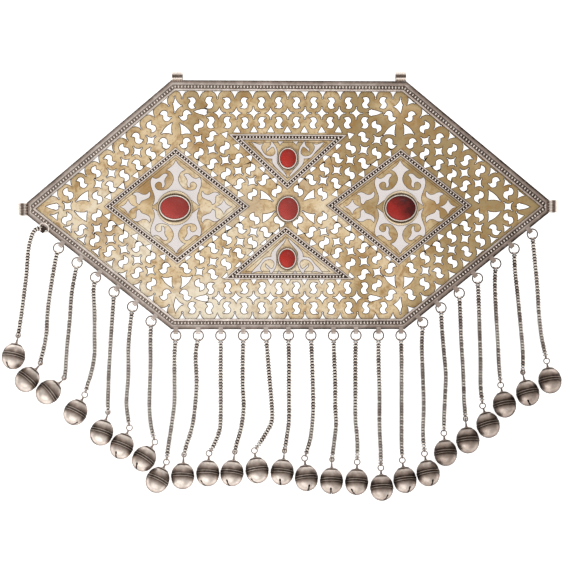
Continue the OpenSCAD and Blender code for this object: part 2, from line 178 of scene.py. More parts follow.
# Reserved silver of a rhomb panel's upper right quarter, from the middle of the panel
RHOMB_BODY = (
    (0.2, 23.9, 1), (1.5, 21.8), (4.7, 19.2, 1), (3.1, 18.5), (2.0, 17.2), (1.3, 15.6),
    (1.2, 14.0), (1.8, 12.2), (2.9, 10.7), (4.2, 9.4), (6.2, 8.7), (8.3, 8.6),
    (9.9, 9.1), (10.8, 10.4), (10.8, 11.7), (9.6, 12.9), (8.3, 13.0), (7.3, 12.0),
    (7.3, 10.1, 1), (6.4, 10.3), (5.8, 11.7), (6.0, 13.5), (5.4, 15.1), (4.2, 16.6, 1),
    (5.2, 17.3), (6.8, 16.9), (8.6, 15.3), (10.4, 14.6), (12.3, 15.4, 1), (13.1, 13.5),
    (12.9, 10.9), (12.0, 8.3), (11.1, 5.7), (11.1, 3.1), (12.2, 0.5, 1), (10.2, 2.0),
    (8.0, 3.6), (4.0, 5.4), (0.2, 5.4, 1),
)
RHOMB_LEAF = (
    (13.7, 8.1, 1), (13.3, 6.5), (14.0, 4.9), (16.1, 3.8), (17.9, 3.1), (19.0, 1.3, 1),
    (20.3, 2.1), (20.5, 3.9), (20.8, 5.7), (22.6, 6.5, 1), (21.3, 7.4), (19.5, 7.5),
    (17.2, 6.4), (15.1, 6.6),
)
RHOMB_STAR = ((4.3, 0, -0.15), (0, 3.8, -0.15), (-4.3, 0, -0.15), (0, -3.8, -0.15))
RHOMB_STAR_X = 24.9
RHOMB_MIDDLES = ((-58.24, -0.52), (58.24, -0.52))
# Reserved silver of a triangle panel's left half, stone in the middle and the long side up
TRIANGLE_BAND = (
    (-18.7, 8.2, 1), (-16.9, 5.7), (-14.6, 3.4), (-12.2, 0.5), (-10.4, -0.3), (-8.2, -0.5, 1),
    (-8.1, -2.3), (-6.8, -4.4), (-4.2, -7.0), (-0.5, -10.4, 1), (-1.4, -8.3), (-3.6, -5.5),
    (-5.5, -2.9), (-5.6, 0.0), (-5.6, 3.1), (-6.4, 5.7), (-8.6, 8.7, 1), (-8.9, 7.0),
    (-9.6, 5.7), (-10.9, 4.7), (-11.1, 3.1, 1), (-10.0, 4.3), (-8.1, 5.7), (-7.0, 4.7),
    (-6.6, 2.6), (-7.8, 1.1), (-9.6, 0.8), (-11.7, 1.6), (-13.3, 3.6), (-13.9, 5.7),
    (-12.8, 7.5, 1), (-14.6, 6.9), (-16.6, 7.4),
)
TRIANGLE_DROP = ((-5.6, 8.6, -0.1), (-4.2, 6.5, -0.1), (-2.3, 8.4, 0))
TRIANGLE_MIDDLES = ((0.0, 25.0, 1), (-0.5, -27.0, -1))

# The strip eyes and rings follow these edges:
# corner where the edge starts, where it ends, distance of the first ring, distance between, how many
EDGES = (
    (SIDE_LEFT_LOWER, BASE_LEFT, 11.4, 12.25, 7),
    (BASE_LEFT, BASE_RIGHT, 2.3, 11.7, 11),
    (BASE_RIGHT, SIDE_RIGHT_LOWER, 9.4, 12.2, 7),
)
# How far from the middle the axes of the hanger tubes lie, at the side corners and over the upper edge
HANGER_X = 137.6
HANGER_Y = 67.05
RING_R = 2.65
RING_WIRE = 0.7
RING_OUT = 3.3
EYE_W = 2.3
EYE_T = 0.3
EYE_Z = 1.22
EYE_R = 0.92
EYE_ROUND = 1.33
# The first ring lies folded back over the border
FOLD_OUT = -0.55
FOLD_Z = 3.05
FOLD_TILT = 38

# Bells: x, y, lean of the loop end from straight up the page, turn of the slit, turn of the loop
BELLS = (
    (-142.0, -78.0, 11, -31, 90),
    (-135.0, -90.0, 40, 90, 90),
    (-124.0, -96.5, 50, 90, 90),
    (-110.0, -107.0, 27, 50, 0),
    (-96.5, -117.5, 18, -60, 90),
    (-86.0, -124.5, 22, -18, 0),
    (-74.5, -131.0, 33, -22, 0),
    (-67.5, -142.0, 26, 90, 0),
    (-54.5, -140.0, 2, 90, 90),
    (-41.5, -138.5, 3, -44, 0),
    (-29.0, -138.5, 7, -28, 90),
    (-16.0, -137.0, -8, -50, 0),
    (-3.0, -138.0, 6, -10, 90),
    (9.5, -141.0, -5, 15, 0),
    (22.5, -142.5, 1, -5, 90),
    (35.5, -143.0, 2, -35, 0),
    (48.5, -146.0, -2, 38, 0),
    (60.5, -142.0, -7, 25, 0),
    (72.5, -138.5, -10, 20, 0),
    (81.5, -128.0, -4, 90, 0),
    (93.0, -121.5, -5, 90, 90),
    (103.5, -113.5, -15, 90, 0),
    (112.0, -103.0, -10, 60, 0),
    (124.0, -97.0, -13, -15, 90),
    (135.5, -90.5, -8, 90, 0),
)
BELL_R = 5.85
BELL_SHIFT = 0.95
BELL_Z = 6.2
BELL_TILT = 15
BELT_WIRE = 0.6
LOOP_R = 1.5
LOOP_WIRE = 0.6
LOOP_REACH = 10.5
LOOP_Z = BELL_Z - LOOP_REACH * math.sin(math.radians(BELL_TILT))

# Routes of the chains between ring and bell
ROUTES = (
    ((-131.6, -12.6), (-134, -18), (-135.2, -25), (-136, -36), (-138, -52), (-139.5, -64)),
    ((-121, -29), (-123.5, -44), (-125, -56), (-125.5, -66), (-127, -75), (-128, -79)),
    ((-111, -37), (-112.5, -46), (-113.5, -60), (-115, -75), (-115.5, -86)),
    ((-101, -44), (-100.5, -56), (-100.5, -68), (-100.5, -77), (-102, -86), (-104, -93)),
    ((-91, -53), (-92, -68), (-93, -84), (-93.5, -98)),
    ((-82, -62), (-83, -74), (-83, -88), (-84, -102), (-83, -110)),
    ((-71.5, -70), (-71.5, -84), (-72, -98), (-72, -107), (-71, -115)),
    ((-59, -78), (-59, -92), (-59, -102), (-60.5, -114), (-62, -124)),
    ((-48, -78), (-47.5, -92), (-48.5, -106), (-50, -115.5), (-52.5, -123.5)),
    ((-35, -80), (-35, -94), (-35, -108), (-35.5, -116), (-38, -123)),
    ((-23.5, -80), (-23.5, -94), (-23, -105), (-24.5, -116), (-26.5, -123)),
    ((-10.5, -79), (-9.5, -91), (-8.5, -103), (-8.5, -112), (-12, -119)),
    ((0.5, -80), (0.5, -96), (0.5, -111), (-0.5, -119.5)),
    ((12.5, -80), (13, -96), (13, -108), (12, -119), (10.5, -125)),
    ((24, -79), (24.5, -92), (24.5, -104), (25, -113), (24, -122.5)),
    ((35, -79), (35, -96), (35, -110), (36, -122)),
    ((47, -80), (47.5, -98), (47.5, -114), (48, -126)),
    ((59, -80), (59, -98), (59, -114), (59, -125)),
    ((69.5, -73), (70, -88), (70.5, -104), (70, -118)),
    ((80, -64), (81, -76), (82, -88), (81.5, -101), (81, -111)),
    ((89.5, -56), (90, -70), (91, -86), (91.5, -101)),
    ((99, -48), (99.5, -64), (100, -80), (100, -94)),
    ((107.5, -40), (108, -54), (109, -70), (109.5, -82)),
    ((118, -34), (119.5, -48), (121, -64), (122, -76)),
    ((128, -26), (129.5, -42), (130.5, -58), (132, -70)),
)
CHAIN_Z = 1.1
FIRST_CHAIN_Z = 1.6
DROP_RUN = 8
RISE_RUN = 14

# Brown stains in the gilding: x, y, radius, strength
GILT_STAINS = (
    (-71, 9, 9, 0.75), (-64, 16, 6, 0.5), (-46, 34, 8, 0.5), (-97, -13, 9, 0.5), (-19, 2, 8, 0.4),
    (-18, 28, 8, 0.45), (8, 10, 9, 0.4), (20, 20, 8, 0.4), (77, -1, 7, 0.6), (36, -28, 9, 0.5),
    (62, 45, 8, 0.4),
)

# The photograph's frame: its width over the plaque, and its middle from the plaque's middle
VIEW_W = 296.4
VIEW_MIDDLE = (-1.56, -41.1)
CAMERA_H = 1200


# Plane geometry

def unit(v):
    """The vector at length one"""
    v = np.asarray(v, float)
    return v / np.linalg.norm(v)


def units(rows):
    """Each row at length one"""
    return rows / np.linalg.norm(rows, axis=1)[:, None]


def inset(polygon, d):
    """A counter-clockwise polygon moved inwards by d on every side"""
    moved = []
    for i, corner in enumerate(polygon):
        before = unit(np.subtract(corner, polygon[i - 1]))
        after = unit(np.subtract(polygon[(i + 1) % len(polygon)], corner))
        n_before = np.array((-before[1], before[0]))
        n_after = np.array((-after[1], after[0]))
        middle = unit(n_before + n_after)
        moved.append(np.asarray(corner) + middle * d / middle.dot(n_before))
    return moved


def rim(d):
    """The plaque's outline moved inwards by d, with the same corners when its sides are pointed"""
    if d < POINTED_FROM:
        return inset(OUTLINE, d)
    line = inset(POINTED, d)
    apart = np.array((0, 0.05))
    return [*line[:2], line[2] + apart, line[2] - apart, *line[3:5], line[5] - apart, line[5] + apart]


def bulging(corners, steps=5):
    """Closed outline through corners whose sides bulge out; its corners are marked sharp"""
    outline = []
    way = -1 if area(corners) > 0 else 1
    for i, (x, y, bulge) in enumerate(corners):
        end = corners[(i + 1) % len(corners)]
        dx, dy = end[0] - x, end[1] - y
        count = steps if bulge else 1
        for k in range(count):
            t = k / count
            lift = 4 * t * (1 - t) * bulge * way
            outline.append((x + dx * t - dy * lift, y + dy * t + dx * lift, k == 0))
    return outline


def area(points):
    """Signed area of a polygon"""
    total = 0
    for i, p in enumerate(points):
        q = points[(i + 1) % len(points)]
        total += p[0] * q[1] - q[0] * p[1]
    return total / 2


def spline(a, b, c, d, t):
    """Catmull-Rom curve from b to c, at a share of the way"""
    bend = (2 * a - 5 * b + 4 * c - d) * t * t
    return 0.5 * (2 * b + (c - a) * t + bend + (3 * b - a - 3 * c + d) * t ** 3)


def smooth(points, steps=3):
    """Closed curve through points, sharp at those with a third value"""
    outline = []
    n = len(points)
    for i in range(n):
        a, b, c, d = (points[(i + k) % n] for k in (-1, 0, 1, 2))
        sharp = len(b) > 2
        if sharp:
            a = b
        if len(c) > 2:
            d = c
        for k in range(steps):
            x, y = (spline(a[j], b[j], c[j], d[j], k / steps) for j in (0, 1))
            outline.append((x, y, k == 0 and sharp))
    return outline


def drilled(outline, chosen):
    """The outline with small round drill holes at the sharp corners that are chosen"""
    n = len(outline)
    picked = [i for i in range(n) if outline[i][2] and chosen()]
    result = []
    for i, point in enumerate(outline):
        if i not in picked:
            if all(math.dist(point[:2], outline[j][:2]) > DRILL_R for j in picked):
                result.append(point[:2])
            continue
        ends = []
        for way in (-1, 1):
            k = i + way
            while math.dist(outline[k % n][:2], point[:2]) <= DRILL_R:
                k += way
            ends.append(math.atan2(outline[k % n][1] - point[1], outline[k % n][0] - point[0]))
        sweep = math.remainder(ends[1] - ends[0], math.tau)
        sweep -= math.copysign(math.tau, sweep)
        for k in range(7):
            a = ends[0] + sweep * k / 6
            result.append((point[0] + DRILL_R * math.cos(a), point[1] + DRILL_R * math.sin(a)))
    return result


def posed(outline, at, turn, flip_x, flip_y, scale):
    """The outline turned in degrees, scaled, moved to a place and mirrored about the pattern's middle"""
    c, s = math.cos(math.radians(turn)) * scale, math.sin(math.radians(turn)) * scale
    result = []
    for x, y in outline:
        px = at[0] + x * c - y * s
        py = at[1] + x * s + y * c
        result.append((flip_x * px + PATTERN_MIDDLE[0], flip_y * py + PATTERN_MIDDLE[1]))
    return result


def scroll(hand):
    """The S-shaped piercing of one hand"""
    return smooth([(hand * s * x, s * y, *sharp) for s in (1, -1) for x, y, *sharp in SCROLL_HALF])


def piercings():
    """Outlines of all the piercings of the sheet, each a little uneven as hand-sawn ones are"""
    rng = random.Random(SEED)
    holes = []

    def cut(shape, hand, at, turn, flip_x, flip_y):
        outline = scroll(hand) if shape == "scroll" else bulging(PIERCINGS[shape])
        share = DRILLED.get(shape, DRILLED_OTHERS)
        outline = drilled(outline, lambda: rng.random() < share)
        at = [value + rng.uniform(-SAW_SHIFT, SAW_SHIFT) for value in at]
        turn += rng.uniform(-SAW_TURN, SAW_TURN)
        holes.append(posed(outline, at, turn, flip_x, flip_y, rng.uniform(*SAW_SIZES)))

    for flip_x, flip_y, shift_x, spread_x, shift_y, spread_y in QUARTERS:
        for shape, first, last, count, hand, turn in QUARTER_ROWS:
            for k in range(count):
                t = k / max(1, count - 1)
                x = first[0] + (last[0] - first[0]) * t
                y = first[1] + (last[1] - first[1]) * t
                if shape != "edge_point":
                    x, y = x + shift_x - spread_x * x / 100, y + shift_y + spread_y * y / 50
                cut(shape, hand * (-1) ** k, (x, y), turn, flip_x, flip_y)
    for flip_y in (1, -1):
        for shape, height, count, pitch, hand in LEVEL_ROWS:
            for k in range(count):
                cut(shape, hand * (-1) ** k, ((k - (count - 1) / 2) * pitch, height), 0, 1, flip_y)
    for flip_x in (1, -1):
        for shape, at, turn in SIDE_MARKS:
            cut(shape, 1, at, turn, flip_x, 1)
    return holes


# Solid geometry

class Stock:
    """Gathers the points and faces of many small shapes, with how dark each point is with grime and painted
    shade
    """

    def __init__(self):
        self.points = []
        self.faces = []
        self.grime = []
        self.count = 0

    def add(self, shape, grime=0.0, at=(0, 0, 0)):
        """Adds a shape at a place, with one value of grime and painted shade for the whole, or one for each
        ring or point
        """
        points, faces = shape
        self.points.append(points + at)
        self.faces += [[i + self.count for i in face] for face in faces]
        self.grime.append(np.repeat(grime, len(points) // np.size(grime)))
        self.count += len(points)

    def turn(self, matrix, at):
        """Turns all that was added and moves it to a place"""
        self.points = [np.concatenate(self.points) @ np.array(matrix).T + at]

    def piece(self, name, material, angle=50):
        """One object of all that was added, smooth but for edges sharper than the angle"""
        mesh = bpy.data.meshes.new(name)
        points = np.concatenate(self.points) + (*PLACE, 0)
        mesh.from_pydata((points * MM).tolist(), [], self.faces)
        # Each point's grime together with its painted shade, highlights and reflections
        layer = mesh.attributes.new("grime", "FLOAT", "POINT")
        layer.data.foreach_set("value", np.concatenate(self.grime).astype(np.float32))
        mesh.shade_smooth()
        mesh.set_sharp_from_angle(angle=math.radians(angle))
        mesh.materials.append(material)
        made = bpy.data.objects.new(name, mesh)
        bpy.context.scene.collection.objects.link(made)
        return made


def skin(rings, closed=False, caps=False):
    """Quads between successive rings of points; a closed skin joins the last ring to the first"""
    rings = np.asarray(rings, float)
    m, n = rings.shape[:2]
    k, j = np.meshgrid(np.arange(m if closed else m - 1), np.arange(n), indexing="ij")
    here, ahead = k * n, (k + 1) % m * n
    side = (j + 1) % n
    faces = np.stack((here + j, here + side, ahead + side, ahead + j), -1).reshape(-1, 4).tolist()
    points = rings.reshape(-1, 3)
    if caps:
        points = np.concatenate((points, (rings[0].mean(0), rings[-1].mean(0))))
        last = (m - 1) * n
        faces += [[(i + 1) % n, i, m * n] for i in range(n)]
        faces += [[last + i, last + (i + 1) % n, m * n + 1] for i in range(n)]
    return points, faces


def around(sides):
    """Cosines and sines of angles round a circle"""
    a = np.arange(sides) * 2 * math.pi / sides
    return np.cos(a), np.sin(a)


def oval(a, b, z, sides):
    """Points round an oval with half sizes a and b, at a height"""
    c, s = around(sides)
    return np.stack((a * c, b * s, np.full(sides, z)), -1)


def arc(half_r, half_z, degrees, r=0, z=0):
    """Points of radius and height along an oval arc"""
    return [(r + half_r * math.cos(a), z + half_z * math.sin(a)) for a in np.radians(degrees)]


def wire(path, radius, sides=8, closed=True, up=(0, 0, 1)):
    """Round wire of a radius along a path"""
    path = np.asarray(path, float)
    ahead = units(np.roll(path, -1, 0) - np.roll(path, 1, 0) if closed else np.gradient(path, axis=0))
    side = units(np.cross(ahead, up))
    over = np.cross(side, ahead)
    c, s = around(sides)
    rings = path[:, None] + radius * (side[:, None] * c[:, None] + over[:, None] * s[:, None])
    return skin(rings, closed=closed, caps=not closed)


def hoop(middle, radius, wire_r, along, across, segments=32, sides=8):
    """Ring of round wire in the plane of two directions"""
    c, s = around(segments)
    along, across = unit(along), unit(across)
    path = np.asarray(middle) + radius * (c[:, None] * along + s[:, None] * across)
    return wire(path, wire_r, sides, up=np.cross(along, across))


def lathe(profile, sides):
    """Closed profile of radius and height turned about Z"""
    return skin([oval(r, r, z, sides) for r, z in profile], closed=True)


def spun(points, angle):
    """Points turned about Z"""
    c, s = math.cos(angle), math.sin(angle)
    return points @ np.array(((c, s, 0), (-s, c, 0), (0, 0, 1)))


def bead(half, foot=-0.3, rows=4, sides=10):
    """Rounded bead with half sizes along its three axes, cut flat underneath"""
    rings = [oval(1, 1, foot, sides)]
    for k in range(1, rows + 1):
        z = foot + (1 - foot) * k / (rows + 1)
        r = math.sqrt(1 - z * z)
        rings.append(oval(r, r, z, sides))
    rings.append(oval(0.15, 0.15, 0.99, sides))
    return skin(np.array(rings) * half, caps=True)


def bead_row(stock, line, z, half, pitch):
    """Beads along every side of a closed line, rubbed bright on top and dark between"""
    points, faces = bead(half)
    grime = np.clip(0.9 - points[:, 2] / half[2] * 1.5, -0.15, 1)
    for i, start in enumerate(line):
        way = line[(i + 1) % len(line)] - start
        count = max(1, round(np.linalg.norm(way) / pitch))
        turned = spun(points, math.atan2(way[1], way[0]))
        for k in range(count):
            stock.add((turned, faces), grime, (*(start + way * (k + 0.5) / count), z))


def moulding(line, profile):
    """Closed profile of inset and height, run with mitred corners along the line of each inset"""
    return skin([[(*corner, z) for corner in line(d)] for d, z in profile], closed=True)


def rim_normals(points, tops, mitre=1.5):
    """Edges with no triangle on their right, and the way that each point moves to go a step inwards.

    A point at a sharp corner moves further than a step, by no more than the mitre's limit.
    """
    sides = {(t[k], t[k - 2]) for t in tops for k in range(3)}
    edges = np.array([edge for edge in sides if edge[::-1] not in sides])
    along = points[edges[:, 1]] - points[edges[:, 0]]
    along /= np.maximum(np.linalg.norm(along, axis=1), 1e-9)[:, None]
    inward = np.stack((-along[:, 1], along[:, 0]), -1)
    total = np.zeros_like(points)
    for end in (0, 1):
        np.add.at(total, edges[:, end], inward)
    size = np.maximum(np.linalg.norm(total, axis=1), 0.5)
    return edges, total / size[:, None] * np.minimum(2 / size, mitre)[:, None]


def plate(name, outlines, chosen, levels, material):
    """Flat piece of the areas that are chosen by the outlines round them.

    Levels lists how far inside the outlines each height and value of grime and painted shade of the wall
    lies, from the bottom up.
    """
    corners, loops = [], []
    for outline in outlines:
        turned = outline if area(outline) > 0 else outline[::-1]
        loops.append(list(range(len(corners), len(corners) + len(turned))))
        corners += [Vector((float(x), float(y))) for x, y in turned]
    found, _, triangles, _, _, inside = delaunay_2d_cdt(corners, [], loops, 1, 1e-5)
    tops = [tuple(t) for t, within in zip(triangles, inside) if chosen(set(within))]
    points = np.array([tuple(v) for v in found])
    edges, inward = rim_normals(points, tops)
    count = len(points)
    layers = [np.column_stack((points + inward * step, np.full(count, z))) for step, z, _ in levels]
    grime = [np.full(count, dirt) for _, _, dirt in levels]
    flat = np.ones(count, bool)
    flat[edges.ravel()] = False
    grime[0][flat] = grime[-1][flat] = 0
    faces = [t[::-1] for t in tops]
    last = (len(levels) - 1) * count
    for low in range(0, last, count):
        high = low + count
        faces += [(a + low, a + high, b + high, b + low) for a, b in edges.tolist()]
    faces += [tuple(i + last for i in t) for t in tops]
    stock = Stock()
    stock.add((np.concatenate(layers), faces), np.concatenate(grime))
    return tidied(stock.piece(name, material, 60))


def applied(piece):
    """A mesh of the piece with its modifiers worked in"""
    return bpy.data.meshes.new_from_object(piece.evaluated_get(bpy.context.evaluated_depsgraph_get()))


def tidied(piece):
    """Drops the points without faces and weights the normals so that flats stay flat"""
    shape = bmesh.new()
    shape.from_mesh(piece.data)
    bmesh.ops.delete(shape, geom=[v for v in shape.verts if not v.link_faces], context="VERTS")
    shape.to_mesh(piece.data)
    shape.free()
    weighted = piece.modifiers.new("normals", "WEIGHTED_NORMAL")
    weighted.weight = 100
    weighted.keep_sharp = True
    mesh = applied(piece)
    piece.modifiers.clear()
    piece.data = mesh
    return piece


# Materials

class Field:
    """A socket of a shader that takes part in arithmetic"""

    def __init__(self, look, socket):
        self.look = look
        self.socket = socket

    def math(self, operation, *others, clamp=False):
        sockets = dict(enumerate((self, *others)))
        return self.look.node("ShaderNodeMath", {"operation": operation, "use_clamp": clamp}, sockets)

    def __add__(self, other):
        return self.math("ADD", other)

    __radd__ = __add__

    def __sub__(self, other):
        return self.math("SUBTRACT", other)

    def __rsub__(self, other):
        return self.look.node("ShaderNodeMath", {"operation": "SUBTRACT"}, {0: other, 1: self})

    def __mul__(self, other):
        return self.math("MULTIPLY", other)

    __rmul__ = __mul__

    def clamped(self):
        return self.math("ADD", 0.0, clamp=True)

    def between(self, low, high):
        """0 at low, 1 at high, with an eased step between them"""
        sockets = {"Value": self, "From Min": low, "From Max": high}
        return self.look.node("ShaderNodeMapRange", {"interpolation_type": "SMOOTHSTEP"}, sockets)


class Look:
    """A material whose shader is written as expressions"""

    def __init__(self, name, blocks=None):
        self.block = (bpy.data.materials if blocks is None else blocks).new(name)
        self.block.use_nodes = True
        self.tree = self.block.node_tree
        self.tree.nodes.clear()

    def node(self, kind, settings=None, sockets=None, out=0):
        made = self.tree.nodes.new(kind)
        for name, value in (settings or {}).items():
            setattr(made, name, value)
        for name, value in (sockets or {}).items():
            socket = self.find(made.inputs, name)
            if isinstance(value, Field):
                self.tree.links.new(value.socket, socket)
            else:
                socket.default_value = (*value, 1) if socket.type == "RGBA" and len(value) == 3 else value
        return Field(self, self.find(made.outputs, out))

    @staticmethod
    def find(sockets, key):
        if isinstance(key, int):
            return sockets[key]
        for socket in sockets:
            if key in (socket.identifier, socket.name):
                return socket
        raise KeyError(key)

    def place(self):
        return self.node("ShaderNodeTexCoord", out="Object")

    # Reads each point's grime and painted shade
    def grime(self):
        return self.node("ShaderNodeAttribute", {"attribute_name": "grime"}, out="Fac")

    def edge_on_shade(self):
        """0 on what faces the view, 1 on what is seen from its edge; it masks the painted shade on steep
        sides
        """
        return self.node("ShaderNodeLayerWeight", None, {"Blend": 0.5}, out="Facing")

    def noise(self, at, size_mm, detail=3.0, rough=0.55, warp=0.0):
        """Cloudy values from 0 to 1 with features of a size"""
        sockets = {"Vector": at, "Scale": 1 / (size_mm * MM), "Detail": detail, "Roughness": rough,
                   "Distortion": warp}
        return self.node("ShaderNodeTexNoise", None, sockets)

    def stretched(self, at, scale):
        return self.node("ShaderNodeVectorMath", {"operation": "MULTIPLY"}, {0: at, 1: scale})

    def axis(self, at, letter):
        return self.node("ShaderNodeSeparateXYZ", None, {0: at}, out=letter)

    def mix(self, factor, a, b):
        sockets = {"Factor_Float": factor, "A_Color": a, "B_Color": b}
        return self.node("ShaderNodeMix", {"data_type": "RGBA"}, sockets, out="Result_Color")

    def bump(self, height, distance_mm, strength=1.0):
        sockets = {"Height": height, "Distance": distance_mm * MM, "Strength": strength}
        return self.node("ShaderNodeBump", None, sockets)

    def surface(self, **sockets):
        named = {name.replace("_", " "): value for name, value in sockets.items()}
        shader = self.node("ShaderNodeBsdfPrincipled", None, named)
        self.finish(shader, "ShaderNodeOutputMaterial")
        return self.block

    def finish(self, shader, kind):
        out = self.tree.nodes.new(kind)
        self.tree.links.new(shader.socket, out.inputs["Surface"])


def gilding(paint):
    """Worn fire gilding: painted shade deepening to the right and up the page, patches of pale and brown,
    fine scratches, and sawn edges dark with grime and painted shade
    """
    look = Look("worn_gilding")
    at = look.place()
    patches = look.noise(at, 26, warp=0.4)
    stains = look.noise(at, 5, detail=4, rough=0.6, warp=0.8)
    specks = look.noise(at, 1.3, rough=0.6)
    scratches = look.noise(look.stretched(at, (1, 9, 1)), 2.4, detail=4, rough=0.7)
    # Painted shade: the gilding darkens to the right and up the page, mixed with broad patches
    tilt = look.axis(at, "X").math("MAXIMUM", -0.01) * 3.4 + look.axis(at, "Y") * 2.6 + patches - 0.5
    colour = look.mix(tilt.between(-0.15, 0.2), paint.gold_lit, paint.gold_mid)
    colour = look.mix(tilt.between(0.08, 0.45), colour, paint.gold_deep)
    for x, y, radius, strength in GILT_STAINS:
        middle = ((x + PLACE[0]) * MM, (y + PLACE[1]) * MM, SHEET_T * MM)
        away = look.node("ShaderNodeVectorMath", {"operation": "DISTANCE"}, {0: at, 1: middle}, out="Value")
        near = away * (1 / (radius * MM)) + stains * 1.2 - 0.6
        colour = look.mix((1 - near.between(0.4, 1.1)) * strength, colour, paint.gold_brown)
    # Stains show more where the painted shade is deeper
    painted_shading = tilt.between(-0.2, 0.15) * 0.5 + 0.2
    colour = look.mix(stains.between(0.43, 0.7) * painted_shading, colour, paint.gold_brown)
    colour = look.mix(specks.between(0.52, 0.75) * painted_shading, colour, paint.gold_brown)
    # Sawn edges darkened by grime and painted shade
    edges = look.grime() * (look.noise(at, 4, detail=2) + 0.5)
    colour = look.mix(edges.between(0.1, 0.75), colour, paint.edge_grime_and_shade)
    rough = 0.36 + patches * 0.12 + stains * 0.14
    height = scratches * 0.35 + specks * 0.3 + stains * 0.6
    return look.surface(
        Base_Color=colour, Metallic=0.92, Roughness=rough, Normal=look.bump(height, 0.05, 0.6),
    )


def collet_gilding(paint):
    """Rubbed gilding over silver, dark with grime and painted shade in the steps, with painted shade on
    steep sides
    """
    look = Look("collet_gilding")
    at = look.place()
    spots = look.noise(at, 1.5)
    # Grime and painted shade in the steps, painted shade on steep sides
    tarnish_and_shade = (look.grime() * 0.9 + spots * 0.4 + look.edge_on_shade().between(0.3, 0.9) * 0.4 - 0.25).clamped()
    colour = look.mix(tarnish_and_shade, (0.80, 0.66, 0.46), paint.edge_grime_and_shade)
    return look.surface(
        Base_Color=colour, Metallic=0.9, Roughness=tarnish_and_shade * 0.2 + 0.42, Normal=look.bump(spots, 0.03, 0.5),
    )


def painted_shade_to_right(look, at):
    """Painted shade: darker towards the right"""
    return look.axis(at, "X").between(-0.04, 0.12) * 0.22


def painted_tube_reflection(look, at, dark=0.8):
    """Painted reflection: dark lines along the axes of the hanger tubes"""
    x = (look.axis(at, "X") - PLACE[0] * MM).math("ABSOLUTE") - HANGER_X * MM
    y = look.axis(at, "Y") - PLACE[1] * MM - HANGER_Y * MM
    beside_x, beside_y = (away.math("ABSOLUTE").between(0.0003, 0.0013) for away in (x, y))
    return dark - beside_x * beside_y * dark


def silver(name, paint, clean=1.0, rough=0.3, wear=0.5, grain=1.5, edge_on_shade=0.4, painted_shade_by_place=painted_shade_to_right):
    """Tarnished silver: bright where it is rubbed, brown-black in recesses, with painted shade on steep
    sides and by place.

    Clean scales the bright colour, wear the clouds of tarnish and the steep-side amount the painted shade on
    steep sides, grain is the size of its spots in mm, and the function by place adds painted shade by place.
    """
    look = Look(name)
    at = look.place()
    clouds = look.noise(at, 9, rough=0.6, warp=0.5)
    spots = look.noise(at, grain, rough=0.6)
    tarnish_and_shade = look.grime() + clouds * wear + spots * 0.4 - 0.2 - wear * 0.5
    # Painted shade on steep sides and by place
    tarnish_and_shade = (tarnish_and_shade + look.edge_on_shade().between(0.3, 0.95) * edge_on_shade + painted_shade_by_place(look, at)).clamped()
    bright = tuple(c * clean for c in paint.silver_bright)
    colour = look.mix((tarnish_and_shade * 2).clamped(), bright, paint.silver_brown)
    colour = look.mix((tarnish_and_shade * 2 - 1).clamped(), colour, paint.silver_dark)
    return look.surface(
        Base_Color=colour, Metallic=0.95, Roughness=(tarnish_and_shade * 0.25 + rough).clamped(),
        Normal=look.bump(spots + clouds, 0.04, 0.5),
    )


def reserved_silver(paint):
    """Pale ungilded silver with a fine matt scrape"""
    look = Look("reserved_silver")
    at = look.place()
    scrape = look.noise(look.stretched(at, (6, 1, 1)), 1.2, detail=4, rough=0.7)
    clouds = look.noise(at, 6)
    colour = look.mix(clouds * 0.6, paint.reserve, tuple(c * 0.82 for c in paint.reserve))
    return look.surface(
        Base_Color=colour, Metallic=0.55, Roughness=0.45 + scrape * 0.15,
        Normal=look.bump(scrape, 0.02, 0.6),
    )


def dark_line():
    """Grime packed in an engraved line"""
    look = Look("engraved_line")
    depth = look.noise(look.place(), 0.8, detail=2)
    colour = look.mix(depth, (0.07, 0.042, 0.02), (0.15, 0.095, 0.045))
    return look.surface(Base_Color=colour, Metallic=0.2, Roughness=0.7)


def carnelian(name, colour, shade, x, y, w):
    """Polished carnelian at a place: cloudy, with painted shade to the upper right, and a soft gloss"""
    look = Look(name)
    at = look.place()
    clouds = look.noise(at, 5, rough=0.5, warp=0.6)
    veins = look.noise(look.stretched(at, (1, 3, 1)), 3, detail=4, rough=0.6, warp=1.0)
    # Painted shade towards the upper right
    lean = look.axis(at, "X") - (x + PLACE[0]) * MM + (look.axis(at, "Y") - (y + PLACE[1]) * MM) * 0.6
    lean = lean * (1 / (w * MM)) + clouds - 0.5
    tint = look.mix(lean.between(-0.45, 0.35), colour, tuple(c * shade for c in colour))
    tint = look.mix(veins.between(0.58, 0.75) * 0.3, tint, tuple(c * 1.5 for c in colour))
    return look.surface(
        Base_Color=tint, Roughness=0.42, IOR=1.54, Coat_Weight=0.04, Coat_Roughness=0.15,
        Subsurface_Weight=0.15, Subsurface_Radius=(0.004, 0.0012, 0.0008), Subsurface_Scale=0.5,
        Specular_IOR_Level=0.2,
    )


def table_top(colour):
    """Plain pale paper on a lit table, which leaves few shadows"""
    look = Look("pale_table")
    fibre = look.noise(look.place(), 4, detail=2)
    tint = look.mix(fibre * 0.3, colour, tuple(c * 0.985 for c in colour))
    return look.surface(
        Base_Color=tint, Roughness=0.9, Specular_IOR_Level=0.1,
        Emission_Color=(1, 1, 1), Emission_Strength=0.75,
    )


# Sizes and colours that a user would change

def colour_property(name, description, default):
    return FloatVectorProperty(name=name, description=description, subtype="COLOR", size=3, min=0, max=1,
                               default=default)


def length_property(name, description, default):
    return FloatProperty(name=name, description=description, default=default, unit="LENGTH")


